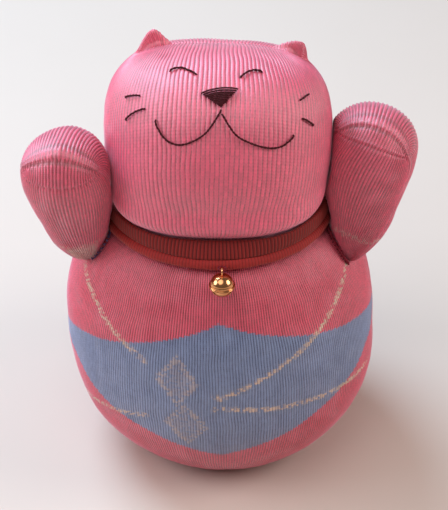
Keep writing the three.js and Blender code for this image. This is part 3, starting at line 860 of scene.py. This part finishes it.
def make_collar_band():
    """The ribbed band above the roll. It leans in over the neck and gives way where the head presses."""
    ribs_around, count, coarse_step = 190, 1140, 10
    turn = circle(count)
    section = band_section()
    rib = np.zeros(len(section))
    rib[1:12] = 0.2
    radius = section[None, :, 0] + np.cos(turn * ribs_around)[:, None] * rib[None]
    points = collar_place(around_z(turn[:, None], radius, section[None, :, 1]))
    coarse = points[::coarse_step]
    edges = np.max([head_edge(turn_z(coarse, a, NECK)) for a in (-HEAD_TURN, 0, HEAD_TURN)], axis=0)
    short = edges + 0.3 - band_inside(height_over_collar(coarse))
    share = np.clip((section[:, 1] - BAND_FROM) / (BAND_TO - BAND_FROM), 0, 1)
    pushed = np.maximum(0, short).max(axis=1)
    loose = ((short + 0.5) / np.maximum(share, 0.05))[:, share > 0.25].max(axis=1)
    pushed = np.where(pushed > 0, pushed, np.clip(loose, -LEAN_IN, 0))
    at = np.arange(0, count + coarse_step, coarse_step)
    full = np.interp(np.arange(count), at, np.append(pushed, pushed[0]))
    points = points + away_from_neck(points) * (full[:, None] * share[None])[..., None]
    made = Builder()
    made.grid(points, np.arange(count) * ribs_around / count, close_rows=True)
    return made.build("collar_band_knit")


# ---- Bell ----

def lathe_object(name, outline, centre, segments=96):
    """A solid of revolution from an outline of radius and height that starts and ends on the axis."""
    radius, height = np.array(outline, float).T[..., None]
    radius[0] = radius[-1] = 0
    turn = circle(segments)[None]
    grid = np.stack(np.broadcast_arrays(radius * np.cos(turn), radius * np.sin(turn), height), -1) + centre
    return grid_object(name, grid, closed_start=True, closed_end=True)


def bell_outline(groove):
    """A half bell's outside, crimped flange and inside, from pole to pole. Heights are from the joint."""
    turns = np.linspace(math.pi / 2, 0.04, 26)
    outside = [(BELL_RADIUS * math.cos(a), 0.1 + BELL_RADIUS * math.sin(a)) for a in turns]
    if groove:
        outside = [(r - 0.10 * hump(z, 1.5, 0.16), z) for r, z in outside]
    rim = BELL_RADIUS + BELL_FLANGE
    flange = [(BELL_RADIUS + 0.08, 0.52), (rim - 0.12, 0.46), (rim, 0.32), (rim - 0.08, 0.14),
              (rim - 0.2, 0.1)]
    inner = BELL_RADIUS - BELL_WALL
    return outside + flange + [(inner * math.cos(a), 0.1 + inner * math.sin(a)) for a in turns[::-1]]


def slot_cutter(angle):
    """A slot through the bell's lower half, with a round hole at each end."""
    made = Builder()
    reach, half, hole = 4.3, 0.42, 0.85
    outline = []
    for sign in (1, -1):
        for a in np.linspace(-2.62, 2.62, 17):
            outline.append((sign * (reach + hole * math.cos(a)), sign * hole * math.sin(a)))
        outline.append((0.0, sign * half * 1.02))
    rings = np.array([[(x, y, z) for x, y in outline] for z in (-7.0, -0.62)])
    made.grid(turn_z(rings, angle, np.zeros(3)) + BELL_CENTRE, [0.0, 1.0], caps=True)
    return made.build("slot_cutter")


def make_wire_loop():
    """The ring of wire on top of the bell."""
    made = Builder()
    turn = np.linspace(0, TAU, 49)[:-1]
    wire = circle(14)[None]
    radius = LOOP_RADIUS + LOOP_WIRE * np.cos(wire)
    rings = (LOOP_WIRE * np.sin(wire), radius * np.cos(turn)[:, None], radius * np.sin(turn)[:, None])
    centre = BELL_CENTRE + [0, 0, LOOP_HEIGHT]
    made.grid(np.stack(np.broadcast_arrays(*rings), -1) + centre, turn, close_rows=True)
    return made.build("bell_wire_loop")


def make_bell():
    """The bell's two halves, the lower one cut by crossed slots, its wire loop and its pellet."""
    upper = lathe_object("bell_upper_dome", bell_outline(True), BELL_CENTRE)
    lower = lathe_object("bell_lower_dome", [(r, -z) for r, z in bell_outline(False)], BELL_CENTRE)
    lower.data.flip_normals()
    for angle in (math.radians(45), math.radians(135)):
        cutter = slot_cutter(angle)
        cut = lower.modifiers.new("slot", "BOOLEAN")
        cut.operation, cut.object, cut.solver = "DIFFERENCE", cutter, "EXACT"
        settled = bpy.data.meshes.new_from_object(lower.evaluated_get(bpy.context.evaluated_depsgraph_get()))
        lower.modifiers.clear()
        lower.data = settled
        bpy.data.objects.remove(cutter)
    loop = make_wire_loop()
    drop = BELL_RADIUS - BELL_WALL - PELLET_RADIUS - 0.3
    outline = [(PELLET_RADIUS * math.cos(a) * (1 - 0.03 * math.sin(5 * a)), PELLET_RADIUS * math.sin(a))
               for a in np.linspace(-math.pi / 2, math.pi / 2, 20)]
    pellet = lathe_object("bell_pellet_ball", outline, BELL_CENTRE - [0, 0, drop], 40)
    return upper, lower, loop, pellet


def make_bell_thread():
    """The loop of thread that goes through the collar's roll and the bell's loop, wound twice."""
    made = Builder()
    reach, slope = 3.9, math.radians(26)
    front = LOOP_HEIGHT + LOOP_RADIUS - LOOP_WIRE - 0.3 - 0.2
    centre = BELL_CENTRE + [0, reach * math.cos(slope), front - reach * math.sin(slope)]
    turn = np.linspace(0, TAU, 90, endpoint=False)
    for shift in (-0.16, 0.16):
        across = 0.4 * reach * np.cos(turn) + shift * np.sin(turn)
        ring = np.stack([across, reach * np.sin(turn), 0.1 * np.cos(3 * turn)], -1)
        ring = turn_x(ring, -slope, np.zeros(3)) + centre + [shift, 0, 0]
        rings, along = tube_rings(np.vstack([ring, ring[:1]]), 0.2, 8, 0.1, 1.3)
        made.grid(rings[:-1], along[:-1], close_rows=True)
    return made.build("bell_hanging_loop")


# ---- Sewing ----

def make_neck_thread():
    """Thread wound three times round the neck."""
    made = Builder()
    turn = np.linspace(0, 3 * TAU, 1200)
    radius = NECK_RADIUS + 0.62 + 0.04 * np.sin(turn * 5)
    path = around_z(turn, radius, 117.95 + 0.75 * turn / (3 * TAU)) + [NECK[0], NECK[1], 0]
    made.cord(path, 0.17, sides=6, ply=0.1, pitch=1.4)
    return made.build("neck_tie_windings")


def seam_line(arm, turn_from, turn_to, count):
    """Where the arm meets the body, with the directions up the arm, out of the body and off the arm."""
    line = []
    _, across, back = arm_axes(arm)
    share = np.linspace(0.004, 0.6, 500)
    for turn in np.linspace(turn_from, turn_to, count):
        points = arm_point(arm, share, np.full(500, turn), -SWELL)
        centre = NECK * [1, 1, 0] * points[:, 2:] / NECK[2]
        away = (points - centre) * [1, 1, 0]
        outside = np.linalg.norm(away, axis=1) - body_radius_at(points[:, 2]) > SWELL
        first = int(np.argmax(outside))
        up = unit(points[min(first + 25, 499)] - points[first])
        off_arm = math.cos(turn) * across + math.sin(turn) * back
        line.append((points[first], up, unit(away[first]), off_arm))
    return line


def make_arm_stitches(side, turn_from, turn_to):
    """Whip stitches that close the arm's root onto the body."""
    made = Builder()
    line = seam_line(ARMS[side], turn_from, turn_to, 20)
    for i in range(len(line) - 1):
        here, up, outwards, off_arm = line[i]
        start = line[i + 1][0] - up * 1.4 + outwards * 0.3
        end = here + up * 1.8 + off_arm * 0.45 + outwards * 0.2
        middle = (start + end) / 2 + unit(outwards + off_arm) * 0.8
        path = even(spline([start - outwards * 0.6, start, middle, end, end - off_arm * 0.7], 10), 0.25)
        made.cord(path, 0.3, sides=7, ply=0.1, pitch=1.5, phase=i)
    return made.build(f"arm_{side}_whip_stitches")


# ---- Materials ----

class Value:
    """What a node gives. Arithmetic on it adds math nodes to the material."""

    def __init__(self, graph, socket):
        self.graph, self.socket = graph, socket

    def __rsub__(self, other):
        return self.graph.work_out("SUBTRACT", other, self)

    def clamped(self):
        """The same value, held between 0 and 1 by the math node that gives it."""
        self.socket.node.use_clamp = True
        return self


def arithmetic(operation):
    """A method that works out an operation on a value and whatever else it is given."""
    return lambda value, *others: value.graph.work_out(operation, value, *others)


for method, operation_name in {
    "add": "ADD", "sub": "SUBTRACT", "mul": "MULTIPLY", "truediv": "DIVIDE", "mod": "FLOORED_MODULO",
    "abs": "ABSOLUTE", "round": "ROUND", "floor": "FLOOR",
}.items():
    setattr(Value, f"__{method}__", arithmetic(operation_name))


class Graph:
    """Writes a node material."""

    def __init__(self, name):
        self.material = bpy.data.materials.new(name)
        self.material.use_nodes = True
        self.tree = self.material.node_tree
        self.shader = self.tree.nodes["Principled BSDF"]

    def link(self, value, socket):
        """Gives a socket a value: another node's, a number, or a colour as a tuple."""
        if isinstance(value, Value):
            self.tree.links.new(value.socket, socket)
        else:
            socket.default_value = (*value, 1) if isinstance(value, tuple) else value

    def node(self, kind, inputs, output=0, **settings):
        """A new node with its settings and its inputs, named or numbered. Gives one of its outputs."""
        made = self.tree.nodes.new(kind)
        for key, value in settings.items():
            setattr(made, key, value)
        for key, value in inputs.items():
            self.link(value, made.inputs[key])
        return Value(self, made.outputs[output])

    def work_out(self, operation, *values):
        return self.node("ShaderNodeMath", dict(enumerate(values)), operation=operation)

    def most(self, a, b):
        return self.work_out("MAXIMUM", a, b)

    def wave(self, turns):
        """A sine wave, once for each whole turn."""
        return self.work_out("SINE", turns * TAU)

    def ramp(self, value, low, high):
        """0 at low, 1 at high, smooth between."""
        return self.node("ShaderNodeMapRange", {"Value": value, "From Min": low, "From Max": high},
                         interpolation_type="SMOOTHSTEP", clamp=True)

    def fade(self, value, low, high):
        """1 at low, 0 at high, smooth between."""
        return 1.0 - self.ramp(value, low, high)

    def mix(self, share, a, b, blend="MIX"):
        return self.node("ShaderNodeMix", {0: share, 6: a, 7: b}, 2, data_type="RGBA", blend_type=blend)

    def shaded(self, colour, value):
        """The colour made darker or lighter by a value."""
        return self.mix(1.0, colour, self.vector(value, value, value), "MULTIPLY")

    def noise(self, vector, scale, detail, roughness=0.55):
        return self.node("ShaderNodeTexNoise",
                         {"Vector": vector, "Scale": scale, "Detail": detail, "Roughness": roughness})

    def chance(self, x, y):
        """A random number from 0 to 1 for each x and y."""
        return self.node("ShaderNodeTexWhiteNoise", {"Vector": self.vector(x, y)}, noise_dimensions="2D")

    def place(self):
        """The point on the object, in metres."""
        return self.node("ShaderNodeTexCoord", {}, "Object")

    def uv(self):
        """The place in the knit's UV map, as its two numbers."""
        split = self.node("ShaderNodeSeparateXYZ", {0: self.node("ShaderNodeUVMap", {}, uv_map="knit")})
        return split, Value(self, split.socket.node.outputs[1])

    def vector(self, x, y, z=0.0):
        return self.node("ShaderNodeCombineXYZ", {0: x, 1: y, 2: z})

    def bump(self, height, strength, distance):
        bumped = self.node("ShaderNodeBump", {"Strength": strength, "Distance": distance, "Height": height})
        self.link(bumped, self.shader.inputs["Normal"])

    def finish(self, colour, **sockets):
        self.link(colour, self.shader.inputs["Base Color"])
        for name, value in sockets.items():
            self.link(value, self.shader.inputs[name.replace("_", " ").title().replace("Ior", "IOR")])
        return self.material


def colour_of(red, green, blue):
    """A colour given as displayed, 0 to 255, as the linear values that a shader takes."""
    def linear(c):
        c = c / 255
        return c / 12.92 if c <= 0.04045 else ((c + 0.055) / 1.055) ** 2.4
    return linear(red), linear(green), linear(blue)


FUZZ_SCALE = 2600.0  # how fine the loose fibres of a knit are


def knit_material(name, light, deep, groove, pattern=None, speckle=1.0, veil=0.95):
    """Sock knit: wales with painted shade in the grooves between them, uneven yarn, and a veil of pale fuzz.

    groove says how far from a wale's middle its groove starts and is deepest. deep is painted shade: the
    colour put in the grooves and in the gaps between loops.
    """
    graph = Graph(name)
    u, v = graph.uv()
    wale = round(u)
    side = abs(u - wale)
    course = v - side * 0.9
    loop = graph.wave(course) * 0.5 + 0.5
    gap = graph.ramp(side, *groove)
    height = (1.0 - gap) * (loop * 0.4 + 0.6) - graph.fade(side, 0.0, 0.14) * 0.15

    each_stitch = graph.chance(wale, math.floor(course))
    each_dash = graph.chance(round(u * 2.0), math.floor(v * 0.4))
    yarn = graph.noise(graph.vector(wale, v * 0.22), 1.3, 2.0)
    uneven = graph.noise(graph.place(), 26.0, 3.0)
    fuzz = graph.noise(graph.place(), FUZZ_SCALE, 2.0)

    # Painted shade: the grooves between wales and the gaps between loops are mixed towards the deep colour;
    # yarn adds the knit's own uneven tone.
    shade = (1.0 - loop) * 0.1 + gap * ((each_stitch * 0.7 + 0.35) * (loop * -0.3 + 1.1))
    shade = (shade + (yarn * 0.7 - 0.35)).clamped()
    value = (uneven * 0.3 + 0.85) * (fuzz * 0.3 + 0.85)
    for spots in (each_stitch, each_dash):
        value = value * (spots * (0.25 * speckle) + (1 - 0.125 * speckle))
    if pattern is not None:
        light, deep = pattern(graph, v, wale, light, deep)
    graph.bump(fuzz * 0.16 + height, 0.55, 0.0004)
    return graph.finish(graph.shaded(graph.mix(shade, light, deep), value), roughness=fuzz * 0.15 + 0.46,
                        ior=1.7, specular_ior_level=0.7, coat_weight=veil, coat_roughness=0.6, coat_ior=1.9,
                        sheen_weight=0.5, sheen_roughness=0.4, sheen_tint=(0.9, 0.76, 0.9))


def argyle_pattern(graph, v, wale, light, deep):
    """A blue diamond on each side of the sock, crossed by gold threads, with two small gold diamonds."""
    stitch = math.floor(v)
    across = graph.work_out("MULTIPLY_ADD", wale, 360 / BODY_WALES, -180)
    along = stitch * BODY_COURSE
    signed = (across + 90) % 180 - 90
    folded = abs(signed)

    away = abs(along - (signed * DIAMOND_LEAN + DIAMOND_MIDDLE))
    uneven = graph.noise(graph.vector(wale, stitch), 0.9, 1.0) * 0.02 - 0.01
    inside = folded / DIAMOND_WIDE + away / DIAMOND_HIGH + uneven
    blue = graph.fade(inside, 0.992, 1.008)

    def line(base, slope, lean, half, fade_from):
        """A gold line that runs away from the middle of the diamond, up or down, and fades at the sides."""
        gap = abs(along - (folded * slope + (signed * lean + base)))
        return graph.fade(gap, half * 0.3, half) * graph.fade(folded, fade_from, fade_from + 10)

    bare = graph.ramp(signed, -28.5, -27.5) * graph.fade(signed, -3.5, -2.5)
    lines = graph.most(line(76.0, 0.50, 0.04, 1.9, 70), line(71.0, -0.27, 0.11, 1.7, 66)) * (1.0 - bare)

    def motif(at_across, at_along, half_across, half_along):
        """A small diamond: an outline round a paler filling."""
        out = abs(signed - at_across) / half_across + abs(along - at_along) / half_along
        return graph.most(graph.fade(abs(out - 0.85), 0.12, 0.2), graph.fade(out, 0.9, 1.0) * 0.45)

    motifs = graph.most(motif(-16.0, 83.0, 8.5, 13.0), motif(-13.0, 60.0, 8.5, 12.0))
    sparkle = graph.noise(graph.vector(wale * 1.31, stitch * 0.93), 1.0, 1.0)
    gold = graph.most(lines, motifs * 0.5) * graph.ramp(sparkle, 0.38, 0.56)

    # The deep line gives the painted groove shade of the blue and gold yarns.
    light = graph.mix(gold, graph.mix(blue, light, colour_of(120, 138, 178)), colour_of(224, 190, 160))
    deep = graph.mix(gold, graph.mix(blue, deep, colour_of(50, 62, 98)), colour_of(172, 128, 108))
    return light, deep


def paw_pattern(band, patch=None):
    """Near its root a paw takes in the end of the sock: a faint pale row at the course band. Near the toe
    seam a band of courses gets painted shade.

    patch gives the wale, half width and last course of a patch of pale yarn.
    """
    def pattern(graph, v, wale, light, deep):
        cloud = graph.noise(graph.vector(wale * 0.8, v * 0.5), 1.0, 2.0)
        pale = graph.fade(abs(v - band), 0.6, 2.2) * graph.ramp(cloud, 0.42, 0.62) * 0.6
        if patch:
            middle, half, last = patch
            spot = graph.fade(abs(wale - middle), half * 0.6, half) * graph.fade(v, last - 5, last)
            pale = graph.most(pale, spot * graph.ramp(cloud, 0.28, 0.5))
        # Painted shade: a band of courses next to the toe seam, where its eyelets and crease lie, is mixed
        # halfway to the deep colour.
        toe = graph.ramp(v, 75.6, 76.6) * graph.fade(v, 77.2, 78.2)
        # The pale yarn's deep colour is its painted groove shade.
        light = graph.mix(pale, light, colour_of(222, 192, 176))
        deep = graph.mix(pale, deep, colour_of(170, 112, 104))
        return graph.mix(toe * 0.5, light, deep), deep
    return pattern


def thread_material(name, light, dark):
    """Twisted embroidery or sewing thread: fine slanting filaments with painted shade between them, and a
    slight shine.
    """
    graph = Graph(name)
    u, v = graph.uv()
    wave = graph.wave(u * 6.0 + v * 3.0)
    fibre = graph.noise(graph.place(), 5200.0, 2.0)
    # Painted shade: the slanting wave mixes the thread towards its dark colour between filaments; the fibre
    # noise is its own uneven tone.
    shade = (wave * 0.22 + (fibre * 0.5 + 0.25)).clamped()
    graph.bump(wave * 0.5 + fibre, 0.35, 0.00012)
    return graph.finish(graph.mix(shade, dark, light), roughness=fibre * 0.2 + 0.55,
                        specular_ior_level=0.12, sheen_weight=0.04, sheen_roughness=0.5)


def rib_material(name, light, deep, roughness):
    """The collar's knit: v counts its fine ribs, and rows of stitches go along each rib. deep is painted
    shade in the grooves between ribs and between stitches.
    """
    graph = Graph(name)
    u, v = graph.uv()
    groove = graph.ramp(abs(v - round(v)), 0.22, 0.5)
    stitch = graph.wave(u * 26) * 0.5 + 0.5
    fuzz = graph.noise(graph.place(), FUZZ_SCALE, 2.0)
    uneven = graph.noise(graph.place(), 60.0, 3.0)
    # Painted shade: the grooves between ribs and between stitches are mixed towards the deep colour.
    shade = (groove * 0.75 + stitch * 0.2).clamped()
    value = (uneven * 0.4 + 0.8) * (fuzz * 0.3 + 0.85)
    graph.bump((1.0 - shade) * 0.8 + fuzz * 0.2, 0.5, 0.0003)
    colour = graph.shaded(graph.mix(shade, light, deep), value)
    return graph.finish(colour, roughness=fuzz * 0.15 + roughness,
                        sheen_weight=0.25, sheen_roughness=0.4, sheen_tint=(1.0, 0.55, 0.45))


def wadding_material():
    """Loose white polyester fibre."""
    graph = Graph("polyester_wadding")
    fibre = graph.noise(graph.place(), 900.0, 6.0, 0.75)
    clumps = graph.noise(graph.place(), 90.0, 3.0)
    graph.bump(fibre, 0.9, 0.0012)
    return graph.finish(graph.mix(fibre * clumps, colour_of(205, 201, 192), colour_of(247, 245, 240)),
                        roughness=0.95, sheen_weight=0.3)


def metal_material(name, colour, dark, roughness):
    """Plated metal with fine rubbing marks and slightly dulled patches."""
    graph = Graph(name)
    patch = graph.noise(graph.place(), 420.0, 4.0)
    fine = graph.noise(graph.place(), 3600.0, 2.0)
    shade = graph.ramp(patch, 0.52, 0.78)
    graph.bump(fine * 0.3 + patch, 0.10, 0.00008)
    return graph.finish(graph.mix(shade * 0.45, colour, dark), metallic=1.0,
                        roughness=shade * 0.16 + (fine * 0.06 + roughness))


# ---- The doll ----

# Each pair is the yarn's colour and a darker painted shade for the knit's grooves; the GROOVE spans say
# where that painted shade and the grooves' bump lie.
PINK = (colour_of(230, 54, 96), colour_of(134, 6, 28))
BODY_PINK = (colour_of(230, 54, 90), colour_of(132, 6, 26))
PAW_GROOVE, BODY_GROOVE, HEAD_GROOVE = (0.14, 0.46), (0.16, 0.46), (0.26, 0.5)
LEFT_BAND, LEFT_PATCH, RIGHT_BAND = 28.0, (24.0, 10.0, 30.0), 24.5
paw_looks = {
    "left": knit_material("left_paw_knit", *PINK, PAW_GROOVE, paw_pattern(LEFT_BAND, LEFT_PATCH)),
    "right": knit_material("right_paw_knit", *PINK, PAW_GROOVE, paw_pattern(RIGHT_BAND)),
}
# Each thread's second colour is painted shade between its filaments.
seam_looks = {
    "left": thread_material("grey_blue_sewing_thread", colour_of(128, 118, 152), colour_of(58, 46, 84)),
    "right": thread_material("dark_red_sewing_thread", colour_of(150, 40, 56), colour_of(84, 14, 28)),
}
SEAM_TURNS = {"left": (-70, 95), "right": (-215, -95)}  # the part of each paw's seam that is stitched

looks = {
    "argyle_knit": knit_material("argyle_sock_knit", *BODY_PINK, BODY_GROOVE, argyle_pattern, 0.45, 0.6),
    "pink_knit": knit_material("pink_sock_knit", *PINK, HEAD_GROOVE, speckle=0.7),
    "wadding": wadding_material(),
    # The second colour of each collar knit is its painted groove shade.
    "red_knit": rib_material("red_rolled_knit", colour_of(158, 26, 20), colour_of(116, 12, 10), 0.7),
    "dark_red_rib": rib_material("dark_red_rib_knit", colour_of(142, 26, 20), colour_of(56, 6, 6), 0.75),
    # Each thread's second colour is painted shade between its filaments.
    "brown_thread": thread_material("brown_embroidery_thread", colour_of(92, 24, 30), colour_of(24, 4, 8)),
    "pink_thread": thread_material("pink_sewing_thread", colour_of(196, 84, 110), colour_of(120, 36, 56)),
    "gold_plate": metal_material("gold_plated_steel",
                                 colour_of(222, 158, 106), colour_of(160, 98, 56), 0.15),
    "steel": metal_material("bare_steel", colour_of(200, 200, 204), colour_of(120, 116, 112), 0.3),
}


def dress(piece, slot, node, look=None):
    """Gives a piece the material of its slot, and hides the CAD node that it stands for."""
    piece.data.materials.clear()
    piece.data.materials.append(look or looks[slot])
    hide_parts(node)
    return piece


def along_arm(side, distance):
    """A point on the arm's axis, in metres."""
    arm = ARMS[side]
    return tuple((arm["root"] + arm_axes(arm)[0] * distance) * MM)


def blend_neck(piece):
    """Bakes a head piece's transform into its mesh."""
    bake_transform(piece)


def blend_arm(piece, side):
    """Bakes a paw piece's transform into its mesh; the points that it works out along the arm are not used.
    """
    along_arm(side, 4)
    along_arm(side, 22)
    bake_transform(piece)


wadding = make_wadding()

body = dress(make_body(), "argyle_knit", "body_skin")
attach(body, "body")
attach(dress(wadding["body"], "wadding", "body_stuffing"), "body")
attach(dress(make_neck_thread(), "pink_thread", "neck_tie_thread"), "body")
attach(dress(make_collar_roll(), "red_knit", "collar_lower_roll"), "body")
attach(dress(make_collar_band(), "dark_red_rib", "collar_upper_band"), "body")

head = dress(make_head(), "pink_knit", "head_skin")
blend_neck(head)
blend_neck(dress(wadding["head"], "wadding", "head_stuffing"))
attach(dress(make_nose(), "brown_thread", "nose_embroidery"), "head")
for line_name, line_points in FACE_LINES.items():
    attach(dress(make_face_line(line_name, line_points), "brown_thread", line_name), "head")

for side_name, seam_turns in SEAM_TURNS.items():
    sleeve = dress(make_arm(side_name), "pink_knit", f"arm_{side_name}_skin", look=paw_looks[side_name])
    blend_arm(sleeve, side_name)
    blend_arm(dress(wadding[side_name], "wadding", f"arm_{side_name}_stuffing"), side_name)
    stitches = make_arm_stitches(side_name, math.radians(seam_turns[0]), math.radians(seam_turns[1]))
    dress(stitches, "pink_thread", f"arm_{side_name}_sewing_thread", look=seam_looks[side_name])
    blend_arm(stitches, side_name)

bell_upper, bell_lower, bell_loop, bell_pellet = make_bell()
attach(dress(bell_upper, "gold_plate", "bell_upper_shell"), "bell")
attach(dress(bell_lower, "gold_plate", "bell_lower_shell"), "bell")
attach(dress(bell_loop, "gold_plate", "bell_loop"), "bell")
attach(dress(bell_pellet, "steel", "bell_pellet"), "pellet")
bell_thread = dress(make_bell_thread(), "pink_thread", "bell_hanging_thread", look=seam_looks["right"])
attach(bell_thread, "bell_hanger")


# ---- Studio, in metres and watts ----

FLOOR_HALF = 3.0
WORLD_COLOUR, WORLD_STRENGTH = (1.0, 0.95, 0.93, 1), 0.17
LIGHT_TARGET = Vector((0, 0, 0.1))
LIGHTS = {  # place, diameter, power and colour
    "key": ((-0.5, 0.52, 0.9), 0.7, 15.5, (0.58, 0.80, 1.0)),
    "overhead": ((-0.25, -0.55, 1.15), 1.0, 5.0, (1.0, 0.95, 0.96)),
    "edge_left": ((-0.85, -0.15, 0.55), 0.6, 4.5, (0.90, 0.90, 1.0)),
    "edge_right": ((0.85, -0.15, 0.6), 0.6, 5.0, (1.0, 0.96, 0.96)),
}
CAMERA_ELEVATION, CAMERA_DISTANCE, CAMERA_TARGET = math.radians(37), 1.075, Vector((-0.00008, 0, 0.089))
SENSOR_WIDTH, FOCAL_LENGTH = 36, 176.470588


def make_floor():
    """A pale floor, which is part of the studio."""
    half = FLOOR_HALF / MM
    corners = [(-half, -half, 0), (half, -half, 0), (half, half, 0), (-half, half, 0)]
    ground = new_object("floor", corners, [[0, 1, 2, 3]])
    graph = Graph("pale_floor")
    grain = graph.noise(graph.place(), 5.0, 4.0)
    colour = graph.mix(grain, colour_of(205, 188, 176), colour_of(214, 198, 186))
    ground.data.materials.append(graph.finish(colour, roughness=0.8))


def make_lights():
    """The even light all round, and the lamps."""
    world = bpy.data.worlds.new("studio")
    world.use_nodes = True
    background = world.node_tree.nodes["Background"]
    background.inputs[0].default_value = WORLD_COLOUR
    background.inputs[1].default_value = WORLD_STRENGTH
    bpy.context.scene.world = world
    for name, (place, size, power, colour) in LIGHTS.items():
        data = bpy.data.lights.new(name, "AREA")
        data.shape, data.size, data.energy, data.color = "DISK", size, power, colour
        light = bpy.data.objects.new(name, data)
        light.location = place
        light.rotation_euler = (LIGHT_TARGET - Vector(place)).to_track_quat("-Z", "Y").to_euler()
        bpy.context.scene.collection.objects.link(light)


def make_camera():
    """The camera looks down on the doll from in front, 37 degrees above the horizon."""
    data = bpy.data.cameras.new("camera")
    data.sensor_width, data.lens = SENSOR_WIDTH, FOCAL_LENGTH
    data.clip_start, data.clip_end = 0.05, 20
    camera = bpy.data.objects.new("camera", data)
    back = Vector((0, -math.cos(CAMERA_ELEVATION), math.sin(CAMERA_ELEVATION)))
    camera.location = CAMERA_TARGET + back * CAMERA_DISTANCE
    camera.rotation_euler = (-back).to_track_quat("-Z", "Y").to_euler()
    bpy.context.scene.collection.objects.link(camera)
    bpy.context.scene.camera = camera


make_floor()
make_lights()
make_camera()
bpy.context.scene.view_settings.view_transform = "Standard"
